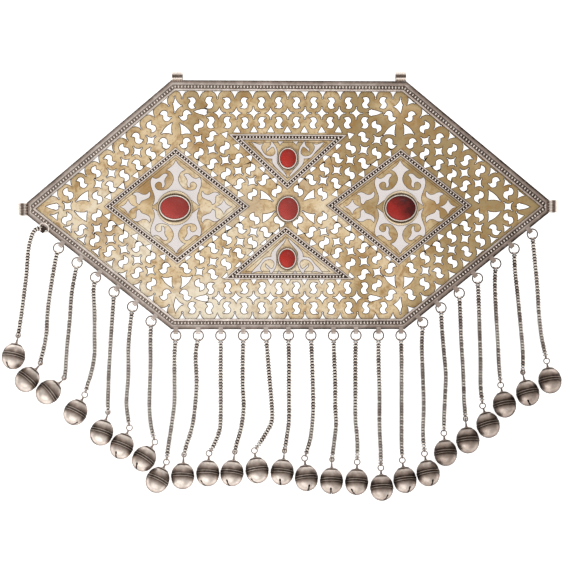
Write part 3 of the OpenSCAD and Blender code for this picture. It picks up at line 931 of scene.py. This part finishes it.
class OrnamentSizes(PropertyGroup):
    """Driving sizes of what is modelled here"""

    edge_rounding: length_property("Edge Rounding", "Rounding of the sheet's sawn edges", 0.0002)
    bead_pitch: length_property("Bead Pitch", "Distance between beads of the border", 0.00172)
    link_pitch: length_property("Link Pitch", "Distance between links of a woven chain", 0.0015)
    link_wire: length_property("Link Wire", "Thickness of a link's wire", 0.0008)
    link_segments: IntProperty(
        name="Link Segments", description="Segments round one link", default=12, min=8)


class OrnamentPaint(PropertyGroup):
    """Colours of the finishes"""

    # Pale, middle and deep gold paint light and shade across the sheet: pale on the lit lower left, deep on
    # the shaded upper right
    gold_lit: colour_property("Pale Gold", "Gilding where it is clean", (1.0, 0.91, 0.73))
    gold_mid: colour_property("Gold", "Gilding of the middle", (0.86, 0.665, 0.40))
    gold_deep: colour_property("Deep Gold", "Gilding on the shaded side", (0.43, 0.32, 0.165))
    gold_brown: colour_property("Brown Gold", "Stains in the gilding", (0.40, 0.22, 0.07))
    # The dark of the sawn edges is grime and painted shade, and is also used in the collets' steps
    edge_grime_and_shade: colour_property("Sawn Edge", "Grime on the sawn edges", (0.085, 0.042, 0.014))
    silver_bright: colour_property("Bright Silver", "Rubbed silver", (0.90, 0.82, 0.755))
    silver_brown: colour_property("Brown Silver", "Silver with a film of tarnish", (0.36, 0.285, 0.245))
    silver_dark: colour_property("Tarnish", "Grime in the silver's recesses", (0.05, 0.034, 0.026))
    reserve: colour_property("Reserved Silver", "Ungilded silver in the panels", (0.90, 0.85, 0.84))
    stone_brown: colour_property("Brown Carnelian", "Left and middle stones", (0.44, 0.055, 0.045))
    stone_dark: colour_property("Dark Carnelian", "Right stone", (0.36, 0.018, 0.012))
    stone_bright: colour_property("Bright Carnelian", "Upper and lower stones", (0.48, 0.03, 0.02))
    table: colour_property("Table", "The surface that it lies on", (0.93, 0.93, 0.93))


# Pieces

# Where each chain hangs: foot on the border's edge, direction along the edge, direction outwards
PENDANTS = []
for edge_start, edge_end, first_at, ring_pitch, ring_count in EDGES:
    run = unit(np.subtract(edge_end, edge_start))
    for step in range(ring_count):
        foot = np.asarray(edge_start) + run * (first_at + step * ring_pitch)
        PENDANTS.append((foot, run, np.array((run[1], -run[0]))))


def dress(piece, slot, *nodes):
    """Fixes a piece to the frame in place of its nodes"""
    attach(piece, "root")
    if nodes:
        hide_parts(*nodes)
    return piece


class ORNAMENT_OT_sheet(Operator):
    """Saw the openwork out of the gilt sheet"""

    bl_idname = "ornament.sheet"
    bl_label = "Openwork Sheet"

    def execute(self, context):
        r = context.scene.ornament_sizes.edge_rounding / MM
        outlines = [[tuple(p) for p in inset(OUTLINE, RIM_WALL + GAP)]] + piercings()
        # Up the sawn wall, over its rounded edge, and across the dark seam of grime and painted shade that
        # fades on the flat
        levels = (
            (0.0, 0.0, 1.0), (0.0, SHEET_T - r, 1.0), (0.3 * r, SHEET_T - 0.3 * r, 0.9),
            (r, SHEET_T, 0.85), (r + 0.1, SHEET_T, 0.5), (r + 0.38, SHEET_T, 0.0),
        )
        gilt = gilding(context.scene.ornament_paint)
        # Metal is left where a place is inside the outline and in no piercing
        sheet = plate("openwork_sheet", outlines, lambda within: within == {0}, levels, gilt)
        dress(sheet, "gilt_sheet", "pierced_plate")
        return {"FINISHED"}


class ORNAMENT_OT_panels(Operator):
    """Lay the reserved silver and its engraved outlines into the four panels"""

    bl_idname = "ornament.panels"
    bl_label = "Panel Decoration"

    # Width of an engraved line, and how far the decoration stands over the sheet or goes into it
    LINE = 0.25
    LIFT = 0.03
    # How far the engraved contours run inside the rhombs' and the triangles' frames
    CONTOURS = ((RHOMBS, 4.0), (TRIANGLES, 4.1))

    def outlines(self):
        """The pale shapes of all four panels, mirrored from the charts"""
        shapes = []

        def lay(chart, x, y, flip_x, flip_y):
            shapes.append([(x + flip_x * p[0], y + flip_y * p[1]) for p in chart])

        # The curve back from the last point to the first is left out
        half = smooth(RHOMB_BODY)[:-2]
        body = [*half, *((-p[0], p[1]) for p in reversed(half))]
        leaf, star = smooth(RHOMB_LEAF), bulging(RHOMB_STAR)
        for x, y in RHOMB_MIDDLES:
            for flip_y in (1, -1):
                lay(body, x, y, 1, flip_y)
                for flip_x in (1, -1):
                    lay(leaf, x, y, flip_x, flip_y)
            for flip_x in (1, -1):
                lay(star, x + flip_x * RHOMB_STAR_X, y, flip_x, 1)
        for x, y, flip_y in TRIANGLE_MIDDLES:
            for flip_x in (1, -1):
                for chart in (smooth(TRIANGLE_BAND), bulging(TRIANGLE_DROP)):
                    lay(chart, x, y, flip_x, flip_y)
        return shapes

    def contours(self):
        """Thin ribbons engraved along the inside of the frames"""
        ribbons = []
        for polygons, d in self.CONTOURS:
            for polygon in polygons:
                for edge in (d, d + self.LINE):
                    ribbons.append([tuple(p) for p in inset(polygon, edge)])
        return ribbons

    def execute(self, context):
        shapes = self.outlines()
        top = SHEET_T + self.LIFT
        levels = ((-self.LINE, SHEET_T - self.LIFT, 0.0), (-self.LINE, top, 0.0))
        lines = plate("engraved_lines", shapes, bool, levels, dark_line())
        dress(lines, "gilt_sheet", "pierced_plate")
        levels = ((0.0, SHEET_T - self.LIFT, 0.0), (0.0, top, 0.0))
        ribbons = plate("engraved_contours", self.contours(), lambda within: len(within) % 2, levels,
                        dark_line())
        dress(ribbons, "gilt_sheet", "pierced_plate")
        pale = reserved_silver(context.scene.ornament_paint)
        levels = ((0.02, top - self.LIFT, 1.0), (0.02, top + 0.02, 0.5), (0.05, top + self.LIFT, 0.0))
        reserve = plate("reserved_silver", shapes, bool, levels, pale)
        dress(reserve, "border_silver", "pierced_plate")
        return {"FINISHED"}


class ORNAMENT_OT_border(Operator):
    """Fit the beaded silver border with its strip eyes"""

    bl_idname = "ornament.border"
    bl_label = "Silver Border"

    PROFILE = (
        (0.0, 0.0), (0.0, 1.75), (0.12, 2.0), (0.4, 2.12), (1.2, 2.14), (2.0, 2.1), (2.35, 2.0), (2.45, 1.7),
        (4.15, 1.7), (4.2, 2.1), (4.4, 2.4), (4.85, 2.5), (5.25, 2.4), (5.45, 2.1), (5.5, 1.7),
        (5.5, 1.1), (0.7, 1.1), (0.7, 0.0),
    )
    # Dark on the outer wall and on the inner side by the sheet: tarnish and painted shade; tarnish in the
    # channel by the beads
    GRIME = (1, 1, 1, 0.8, 0.45, 0.25, 0.3, 0.65, 0.65, 0.4, 0.3, 0.15, 0.15, 0.7, 1, 1, 1, 1)
    BEADS_IN = 3.33
    BEADS_Z = 1.7
    BEAD_HALF = (0.6, 0.88, 0.98)

    # How far the strip of an eye lies on the border, and how far it reaches back under it
    EYE_ON = 1.2
    EYE_UNDER = 0.35
    # Grime of the strip eyes; the first eye, under the folded ring, is painted dark as shade
    EYE_GRIME = 0.3
    FIRST_EYE_GRIME_AND_SHADE = 1.0

    def eye(self, foot, run, out):
        """Strip bent round from the top of the border back under it"""
        bend = arc(EYE_R, EYE_R, np.linspace(90, -90, 11), EYE_ROUND, EYE_Z)
        top, under = EYE_Z + EYE_R, EYE_Z - EYE_R
        path = np.array([(-self.EYE_ON, top), (0, top), *bend, (0, under), (-self.EYE_UNDER, under)])
        ahead = units(np.gradient(path, axis=0))
        normal = np.stack((-ahead[:, 1], ahead[:, 0]), -1) * EYE_T / 2
        rings = []
        for p, n in zip(path, normal):
            ring = []
            for t, w in ((-1, -1), (-1, 1), (1, 1), (1, -1)):
                q = p + n * t
                plane = foot + out * q[0] + run * w * EYE_W / 2
                ring.append((*plane, q[1]))
            rings.append(ring)
        return skin(rings, caps=True)

    def execute(self, context):
        pitch = context.scene.ornament_sizes.bead_pitch / MM
        stock = Stock()
        stock.add(moulding(rim, self.PROFILE), self.GRIME)
        bead_row(stock, inset(POINTED, self.BEADS_IN), self.BEADS_Z, self.BEAD_HALF, pitch)
        for i, pendant in enumerate(PENDANTS):
            stock.add(self.eye(*pendant), self.FIRST_EYE_GRIME_AND_SHADE if i == 0 else self.EYE_GRIME)
        paint = context.scene.ornament_paint
        metal = silver("border_silver", paint, clean=0.95, rough=0.34, wear=0.6)
        dress(stock.piece("border", metal), "border_silver", "border_frame")
        return {"FINISHED"}


class ORNAMENT_OT_frames(Operator):
    """Lay the beaded strips round the panels"""

    bl_idname = "ornament.frames"
    bl_label = "Panel Frames"

    PROFILE = (
        (0.0, 1.1), (0.0, 1.5), (0.15, 1.75), (0.45, 1.82), (0.75, 1.75), (0.9, 1.5),
        (2.2, 1.5), (2.35, 1.75), (2.65, 1.82), (2.95, 1.75), (3.1, 1.5), (3.1, 1.1),
    )
    # Painted shadow lines on the strips' outer sides; tarnish in the channel between the wires
    GRIME = (1, 1, 0.5, 0.0, 0.2, 1, 1, 0.2, 0.0, 0.5, 1, 1)
    BEADS_IN = 1.55
    BEADS_Z = 1.4
    BEAD_HALF = (0.57, 0.68, 0.86)
    BEAD_PITCH = 1.7

    def execute(self, context):
        paint = context.scene.ornament_paint
        metal = silver("frame_silver", paint, clean=1.1, rough=0.34, wear=0.3)
        for name, polygons in (("rhomb", RHOMBS), ("triangle", TRIANGLES)):
            stock = Stock()
            for polygon in polygons:
                stock.add(moulding(lambda d: inset(polygon, d), self.PROFILE), self.GRIME)
                line = inset(polygon, self.BEADS_IN)
                bead_row(stock, line, self.BEADS_Z, self.BEAD_HALF, self.BEAD_PITCH)
            dress(stock.piece(name + "_strips", metal), "frame_silver", name + "_frames")
        return {"FINISHED"}


class ORNAMENT_OT_settings(Operator):
    """Solder the stepped collets and set the stones in them"""

    bl_idname = "ornament.settings"
    bl_label = "Collets and Stones"

    # Rows of both profiles: share of the way from the inner to the outer half sizes, height over the sheet
    COLLET = (
        (0, -0.05), (1, -0.05), (1, 0.35), (0.88, 0.8), (0.7, 0.96), (0.45, 0.9), (0.32, 0.6), (0, 0.55),
    )
    # Dark at the collet's foot and in the groove by the bezel: grime and painted shadow
    COLLET_GRIME_AND_SHADE = (1, 1, 0.9, 0.15, 0.0, 0.1, 0.8, 1)
    BEZEL = (
        (0.12, 0.3), (0.72, 0.3), (0.74, 1.3), (0.74, 1.95),
        (0.6, 2.22), (0.4, 2.3), (0.12, 2.22), (0.1, 2.0),
    )
    # Dark at the bezel's foot in the groove and at its lip by the stone: grime and painted shade
    BEZEL_GRIME_AND_SHADE = (1, 1, 0.7, 0.15, 0.0, 0.0, 0.2, 1)
    # How far the collet starts outside the stone, and how wide the bezel is
    COLLET_GAP = 0.7
    BEZEL_W = 1
    RING_SIDES = 64
    STONE_SIDES = 48

    def ring(self, inner, outer, profile):
        """Profile run round an oval between two pairs of half sizes"""
        rings = []
        for share, z in profile:
            a, b = np.add(inner, np.subtract(outer, inner) * share)
            rings.append(oval(a, b, SHEET_T + z, self.RING_SIDES))
        return skin(rings, closed=True)

    def stone(self, half):
        """Straight girdle under a low dome"""
        base = SHEET_T + GAP
        rings = [oval(*half, base, self.STONE_SIDES)]
        for r, z in arc(1, DOME_H, np.linspace(0, 84, 12), z=base + GIRDLE_H):
            rings.append(oval(*(half * r), z, self.STONE_SIDES))
        return skin(rings, caps=True)

    def execute(self, context):
        paint = context.scene.ornament_paint
        collets, bezels = Stock(), Stock()
        for name, (kind, shade, x, y, w, h, foot_w, foot_h) in STONES.items():
            half = np.array((w, h)) / 2
            at = (x, y, 0)
            foot = np.array((foot_w, foot_h)) / 2
            collets.add(self.ring(half + self.COLLET_GAP, foot, self.COLLET), self.COLLET_GRIME_AND_SHADE, at)
            bezels.add(self.ring(half, half + self.BEZEL_W, self.BEZEL), self.BEZEL_GRIME_AND_SHADE, at)
            gem = Stock()
            gem.add(self.stone(half), 0.0, at)
            tint = getattr(paint, "stone_" + kind)
            polished = carnelian(name, tint, shade, x, y, w)
            dress(gem.piece(name + "_cabochon", polished, 80), "carnelian_" + kind, name)
        dress(collets.piece("collets", collet_gilding(paint)), "gilt_sheet", "pierced_plate")
        metal = silver("bezel_silver", paint, clean=1.08, rough=0.34, wear=0.2, edge_on_shade=0.2)
        dress(bezels.piece("bezels", metal), "border_silver", "pierced_plate")
        return {"FINISHED"}


class ORNAMENT_OT_hangers(Operator):
    """Finish the ribbed hanger tubes"""

    bl_idname = "ornament.hangers"
    bl_label = "Hanger Tubes"

    def execute(self, context):
        paint = context.scene.ornament_paint
        # The dark lines along the tubes are painted reflection
        metal = silver("hanger_silver", paint, clean=0.95, rough=0.3, wear=0.5, painted_shade_by_place=painted_tube_reflection)
        for material_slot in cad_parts["hanger_tubes"].material_slots:
            material_slot.material = metal
        return {"FINISHED"}


def ease(t):
    """0 to 1 with a slow start and end"""
    t = min(1.0, max(0.0, t))
    return t * t * (3 - 2 * t)


class ORNAMENT_OT_chains(Operator):
    """Weave the chains, each from its jump ring to its bell"""

    bl_idname = "ornament.chains"
    bl_label = "Woven Chains"

    # A link's reach along the chain, its width, and half its height
    LINK_RISE = 0.3
    LINK_WIDTH = 2.0
    LINK_SPREAD = 0.8
    # Width, spread and wire of the links between, as shares of the ones across
    BETWEEN = (0.5, 0.7, 0.5)
    RING_GRIME = 0.6
    FIRST_RING_GRIME = 0.1
    END_RING_GRIME = 0.45
    # The core painted dark as shade inside the links, and how many points of the route it stops short of
    # either end
    SHADE_CORE_R = 0.88
    CORE_TRIM = 8
    ROUTE_STEPS = 24
    # Where a chain starts inside its ring, and where it ends past a loop that lies across, or else in it
    RING_AIR = 0.35
    PAST_LOOP = 0.6
    IN_LOOP = 0.7
    END_RING_R = 1.15
    END_RING_WIRE = 0.66
    # How far a row of links looks ahead for its direction
    LOOK_AHEAD = 1.2
    # Turns of a whole chain and of each link about the chain, and how unevenly the links are worn
    SPINS = (0, 0.25, -0.25)
    WOBBLE = 0.2
    UNEVEN_WEAR = (-0.1, 0.6)
    # Least air between a link and the table
    TABLE_AIR = 0.02

    def ring_middle(self, i):
        """Middle of a jump ring, seen from above"""
        foot, _, out = PENDANTS[i]
        return foot + out * (FOLD_OUT if i == 0 else RING_OUT)

    def jump_ring(self, i):
        """Ring through a strip eye, flat but for the first, which is folded over"""
        _, run, out = PENDANTS[i]
        tilt = math.radians(FOLD_TILT if i == 0 else 0)
        z = FOLD_Z if i == 0 else EYE_Z
        across = (*(out * math.cos(tilt)), -math.sin(tilt))
        return hoop((*self.ring_middle(i), z), RING_R, RING_WIRE / 2, (*run, 0), across)

    def loop_middle(self, i):
        """Middle of a bell's loop, seen from above"""
        x, y, lean = BELLS[i][:3]
        a = math.radians(lean)
        reach = LOOP_REACH * math.cos(math.radians(BELL_TILT))
        return np.array((x + math.sin(a) * reach, y + math.cos(a) * reach))

    def route(self, i):
        """Dense points of the chain's middle, from inside its ring to inside the bell's loop"""
        first, last = np.array(ROUTES[i][0], float), np.array(ROUTES[i][-1], float)
        ring, loop = self.ring_middle(i), self.loop_middle(i)
        start = ring + unit(first - ring) * (RING_R - RING_WIRE / 2 - self.RING_AIR)
        across = BELLS[i][4] == 0
        finish = loop + unit(last - loop) * (LOOP_R + self.PAST_LOOP if across else self.IN_LOOP)
        knots = np.array([start, start, *ROUTES[i], finish, finish], float)
        dense = []
        for four in zip(knots, knots[1:], knots[2:], knots[3:]):
            dense += [spline(*four, t) for t in np.linspace(0, 1, self.ROUTE_STEPS, endpoint=False)]
        dense.append(finish)
        heights = []
        for p in dense:
            rise = ease(1 - np.linalg.norm(p - finish) / RISE_RUN)
            drop = ease(1 - np.linalg.norm(p - start) / DROP_RUN) if i == 0 else 0
            heights.append(CHAIN_Z + rise * (LOOP_Z - CHAIN_Z) + drop * (FIRST_CHAIN_Z - CHAIN_Z))
        return np.column_stack((dense, heights))

    def weave(self, path, sizes, rng):
        """Folded links in rows round a core painted dark as shade: the ones across carry painted highlights,
        the ones between are small and painted dark as shade
        """
        # The core is painted dark as shade
        yield wire(path[self.CORE_TRIM:-self.CORE_TRIM:3], self.SHADE_CORE_R, 8, closed=False), 1.0
        lengths = np.concatenate(((0,), np.cumsum(np.linalg.norm(np.diff(path, axis=0), axis=1))))
        total = lengths[-1] - self.LINK_RISE
        count = int(total / (sizes.link_pitch / MM / 2))
        radius = sizes.link_wire / MM / 2
        c, s = around(sizes.link_segments)
        # Painted highlight along the raised side of a link, painted shade along the other
        painted_shading = np.interp(s, (0.1, 0.75), (1, -0.3))
        rise, width, spread = self.LINK_RISE * s ** 2, self.LINK_WIDTH / 2 * c, self.LINK_SPREAD * s
        spin = rng.choice(self.SPINS)

        def point(length):
            return np.array([np.interp(length, lengths, path[:, j]) for j in range(3)])

        for k in range(count):
            length = k * total / (count - 1)
            at = point(length)
            ahead = unit(point(length + self.LOOK_AHEAD) - at)
            side = unit(np.cross((0, 0, 1), ahead))
            angle = spin + rng.uniform(-self.WOBBLE, self.WOBBLE)
            if k < 2 or k > count - 3:
                angle = 0
            across = side * math.cos(angle) + np.cross(ahead, side) * math.sin(angle)
            depth = np.cross(ahead, across)
            # The links between are painted dark as shade; those across carry painted highlights
            thick, grime = radius, 1.0
            loop = at + np.outer(rise, ahead)
            if k % 2:
                loop += np.outer(width * self.BETWEEN[0], depth) + np.outer(spread * self.BETWEEN[1], across)
                thick *= self.BETWEEN[2]
            else:
                loop += np.outer(width, across) + np.outer(spread, depth)
                grime = painted_shading + rng.uniform(*self.UNEVEN_WEAR)
            loop[:, 2] = np.maximum(loop[:, 2], radius + self.TABLE_AIR)
            yield wire(loop, thick, 5, up=ahead + 0.3 * depth), grime

    def end_ring(self, i, path):
        """Small ring that joins the last link to the bell's loop"""
        back = unit(path[-8] - path[-1])
        across = (0, 0, 1) if BELLS[i][4] == 0 else np.cross(back, (0, 0, 1))
        return hoop(path[-1] + back * 0.1, self.END_RING_R, self.END_RING_WIRE / 2, back, across, 16, 6)

    def execute(self, context):
        sizes = context.scene.ornament_sizes
        paint = context.scene.ornament_paint
        metal = silver("chain_silver", paint, clean=1.15, rough=0.36, wear=0.3, grain=0.8, edge_on_shade=0.3)
        for i in range(len(BELLS)):
            stock = Stock()
            stock.add(self.jump_ring(i), self.FIRST_RING_GRIME if i == 0 else self.RING_GRIME)
            path = self.route(i)
            stock.add(self.end_ring(i, path), self.END_RING_GRIME)
            for shape, grime in self.weave(path, sizes, random.Random(SEED + i)):
                stock.add(shape, grime)
            name = f"chain_{i + 1:02d}"
            dress(stock.piece(name + "_woven", metal, 80), "chain_silver", name)
        return {"FINISHED"}


class ORNAMENT_OT_bells(Operator):
    """Raise the round bells with belts, caps, loops and slits"""

    bl_idname = "ornament.bells"
    bl_label = "Bells"

    WALL = 0.5
    # Three belt wires: half sizes of one, distance between
    BELT_HALF = (0.26, 0.27)
    BELT_PITCH = 0.64
    # Sound slit: width, half length, radius of its end holes, how far up they and it are cut
    SLIT = 0.42
    SLIT_REACH = 4.2
    SLIT_HOLE_R = 0.55
    SLIT_TOP = -BELL_SHIFT - 3.6
    # Tarnish and painted reflection along the bell's axis, from the foot up to the cap: a pale foot and a
    # dark band round the belts are painted reflection
    TARNISH_AND_REFLECTION_AT = (-6.8, -5.5, -3.4, -2.0, -1.0, 1.0, 1.8, 2.8, 4.0, 5.0, 5.4, 6.0)
    TARNISH_AND_REFLECTION = (0.35, 0.2, 0.2, 0.45, 0.9, 0.95, 0.7, 0.4, 0.15, 0.15, 0.9, 1.0)
    # Cap and neck: radius, height over the shell
    CAP = (
        (0.01, -0.7), (3.05, -1.0), (3.15, -0.85), (3.0, -0.6), (2.2, -0.25), (1.4, -0.02), (1.05, 0.25),
        (0.62, 0.5), (0.48, 1.1), (0.48, 2.1), (0.01, 2.1),
    )
    # Painted shade under the cap's lip, grime on the neck
    CAP_GRIME_AND_SHADE = (1, 1, 1, 0.1, 0, 0, 0.2, 0.6, 0.6, 0.5, 0.5)
    LOOP_GRIME = 0.45

    def section(self):
        """Closed section of the shell: outside up over the belts, inside down"""
        outside, inside = BELL_R - 0.01, BELL_R - self.WALL
        line = arc(outside, outside, np.linspace(-88, -6, 14), z=-BELL_SHIFT)
        for k in (-1, 0, 1):
            line += arc(*self.BELT_HALF, (-90, -50, 0, 50, 90), BELL_R, k * self.BELT_PITCH)
        line += arc(outside, outside, np.linspace(6, 88, 14), z=BELL_SHIFT)
        line += arc(inside, inside, np.linspace(88, 0, 9), z=BELL_SHIFT)
        line += arc(inside, inside, np.linspace(0, -88, 9), z=-BELL_SHIFT)
        return line

    def shell(self):
        """Shell with the slit and its end holes cut out, as points, faces and grime"""
        stock = Stock()
        stock.add(lathe(self.section(), 48))
        body = stock.piece("bell_shell", None)
        low = -BELL_SHIFT - BELL_R - 1
        half, reach = self.SLIT / 2, self.SLIT_REACH
        corners = ((-half, -reach), (half, -reach), (half, reach), (-half, reach))
        cutter = Stock()
        cutter.add(skin([[(*corner, z) for corner in corners] for z in (low, self.SLIT_TOP)], caps=True))
        for y in (-reach, reach):
            tube = [oval(self.SLIT_HOLE_R, self.SLIT_HOLE_R, z, 12) for z in (low, self.SLIT_TOP + 0.6)]
            cutter.add(skin(tube, caps=True), 0.0, (0, y, 0))
        saw = cutter.piece("bell_saw", None)
        cut = body.modifiers.new("slit", "BOOLEAN")
        cut.object = saw
        cut.solver = "EXACT"
        cut.use_self = True
        mesh = applied(body)
        points = np.empty(len(mesh.vertices) * 3, np.float32)
        mesh.vertices.foreach_get("co", points)
        points = points.reshape(-1, 3) / MM - (*PLACE, 0)
        for thing in (body, saw):
            bpy.data.objects.remove(thing)
        return points, [list(face.vertices) for face in mesh.polygons], self.grime(points)

    def grime(self, points):
        """How dark each point of the shell is: tarnish and painted reflection along the axis, rubbed belts,
        and the slit and inside painted dark as shade
        """
        x, y, z = points.T
        radius = np.hypot(x, y)
        level = np.interp(z, self.TARNISH_AND_REFLECTION_AT, self.TARNISH_AND_REFLECTION)
        level = np.where((radius > BELL_R + 0.18) & (abs(z) > 0.4), 0.15, level)
        # The slit's edges and the shell's inside are painted dark as shade
        slit_shade = (abs(x) < self.SLIT) & (abs(x) > self.SLIT / 3) & (z < -BELL_SHIFT - 3)
        inside = np.hypot(radius, z - np.clip(z, -BELL_SHIFT, BELL_SHIFT)) < BELL_R - 0.1
        return np.where(slit_shade | inside, 1.0, level)

    def fittings(self, turn):
        """Cap, neck and loop at the top of a bell"""
        stock = Stock()
        stock.add(lathe([(r, BELL_SHIFT + BELL_R + z) for r, z in self.CAP], 32), self.CAP_GRIME_AND_SHADE)
        a = math.radians(turn)
        across = (math.cos(a), math.sin(a), 0)
        stock.add(hoop((0, 0, LOOP_REACH), LOOP_R, LOOP_WIRE / 2, (0, 0, 1), across, 24, 8), self.LOOP_GRIME)
        return stock

    def execute(self, context):
        paint = context.scene.ornament_paint
        metal = silver("bell_silver", paint, rough=0.28, wear=0.35, grain=2.5, edge_on_shade=0.5)
        shell_points, shell_faces, shell_grime_and_shade = self.shell()
        tilt = Matrix.Rotation(math.radians(-90 - BELL_TILT), 3, "X")
        for i, (x, y, lean, slit, turn) in enumerate(BELLS):
            stock = self.fittings(turn)
            stock.add((spun(shell_points, math.radians(slit)), shell_faces), shell_grime_and_shade)
            stock.turn(Matrix.Rotation(math.radians(-lean), 3, "Z") @ tilt, (x, y, BELL_Z))
            name = f"bell_{i + 1:02d}"
            dress(stock.piece(name + "_silver", metal, 40), "bell_silver", name)
        return {"FINISHED"}


class ORNAMENT_OT_stage(Operator):
    """Set the pale table, the soft light and the camera straight above"""

    bl_idname = "ornament.stage"
    bl_label = "Table, Light and Camera"

    TABLE_HALF = 2.5
    TABLE_Z = -0.0001
    # Studio brightness: level with the table, what the front, left and back add, and overhead
    HORIZON = 0.5
    FRONT = 0.38
    LEFT = 0.12
    BACK = 0.2
    OVERHEAD = 0.79
    # Lamps that aim at the frame's origin: name, place, width and depth, watts
    LAMPS = (
        ("key", (-0.45, -0.95, 0.8), (1.6, 1.0), 4.5),
        ("fill", (0.2, 0.75, 0.85), (0.3, 0.2), 1.2),
    )

    def lamp(self, name, place, size, power):
        """Soft rectangular lamp aimed at the frame's origin"""
        data = bpy.data.lights.new(name, "AREA")
        data.shape = "RECTANGLE"
        data.size, data.size_y = size
        data.energy = power
        lamp = bpy.data.objects.new(name, data)
        lamp.location = place
        lamp.rotation_euler = (-Vector(place)).to_track_quat("-Z", "Y").to_euler()
        bpy.context.scene.collection.objects.link(lamp)

    def studio(self):
        """Soft studio: bright overhead, dimmer level with the table except in front and behind"""
        sky = Look("studio", bpy.data.worlds)
        way = sky.node("ShaderNodeTexCoord", out="Generated")
        overhead = sky.axis(way, "Z").between(0.5, 0.97)
        front = (sky.axis(way, "Y") * -1).between(-0.15, 0.7)
        back = sky.axis(way, "Y").between(0.3, 0.8)
        left = (sky.axis(way, "X") * -1).between(-0.9, 0.9)
        level = self.HORIZON + self.FRONT * front + self.LEFT * left + self.BACK * back
        level = level * (1 - overhead) + self.OVERHEAD * overhead
        tint = sky.mix(overhead, (1.0, 0.98, 0.95), (1.0, 0.985, 0.97))
        glow = sky.node("ShaderNodeBackground", None, {"Color": tint, "Strength": level})
        sky.finish(glow, "ShaderNodeOutputWorld")
        return sky.block

    def execute(self, context):
        mesh = bpy.data.meshes.new("table")
        corners = [(x * self.TABLE_HALF, y * self.TABLE_HALF, self.TABLE_Z)
                   for x, y in ((-1, -1), (1, -1), (1, 1), (-1, 1))]
        mesh.from_pydata(corners, [], [(0, 1, 2, 3)])
        mesh.materials.append(table_top(context.scene.ornament_paint.table))
        table = bpy.data.objects.new("table", mesh)
        context.scene.collection.objects.link(table)

        for lamp in self.LAMPS:
            self.lamp(*lamp)
        context.scene.world = self.studio()

        camera = bpy.data.cameras.new("camera")
        camera.lens = camera.sensor_width * CAMERA_H / VIEW_W
        camera.clip_end = 20
        viewer = bpy.data.objects.new("camera", camera)
        x, y = VIEW_MIDDLE[0] + PLACE[0], VIEW_MIDDLE[1] + PLACE[1]
        viewer.location = (x * MM, y * MM, CAMERA_H * MM)
        context.scene.collection.objects.link(viewer)
        context.scene.camera = viewer
        context.scene.view_settings.view_transform = "Standard"
        return {"FINISHED"}


class ORNAMENT_PT_panel(Panel):
    """Lists the steps that dress the ornament"""

    bl_label = "Ornament"
    bl_idname = "ORNAMENT_PT_panel"
    bl_space_type = "VIEW_3D"
    bl_region_type = "UI"
    bl_category = "Ornament"

    def draw(self, context):
        for group in (context.scene.ornament_sizes, context.scene.ornament_paint):
            for name in group.__annotations__:
                self.layout.prop(group, name)
        for step in STEPS:
            self.layout.operator(step.bl_idname)


STEPS = (
    ORNAMENT_OT_stage,
    ORNAMENT_OT_sheet,
    ORNAMENT_OT_panels,
    ORNAMENT_OT_border,
    ORNAMENT_OT_frames,
    ORNAMENT_OT_settings,
    ORNAMENT_OT_hangers,
    ORNAMENT_OT_chains,
    ORNAMENT_OT_bells,
)
CLASSES = (OrnamentSizes, OrnamentPaint, *STEPS, ORNAMENT_PT_panel)


def register():
    for each in CLASSES:
        bpy.utils.register_class(each)
    bpy.types.Scene.ornament_sizes = PointerProperty(type=OrnamentSizes)
    bpy.types.Scene.ornament_paint = PointerProperty(type=OrnamentPaint)


def unregister():
    del bpy.types.Scene.ornament_paint
    del bpy.types.Scene.ornament_sizes
    for each in reversed(CLASSES):
        bpy.utils.unregister_class(each)


def main():
    register()
    bpy.ops.ornament.stage()
    bpy.ops.ornament.sheet()
    bpy.ops.ornament.panels()
    bpy.ops.ornament.border()
    bpy.ops.ornament.frames()
    bpy.ops.ornament.settings()
    bpy.ops.ornament.hangers()
    bpy.ops.ornament.chains()
    bpy.ops.ornament.bells()


if __name__ == "__main__":
    main()
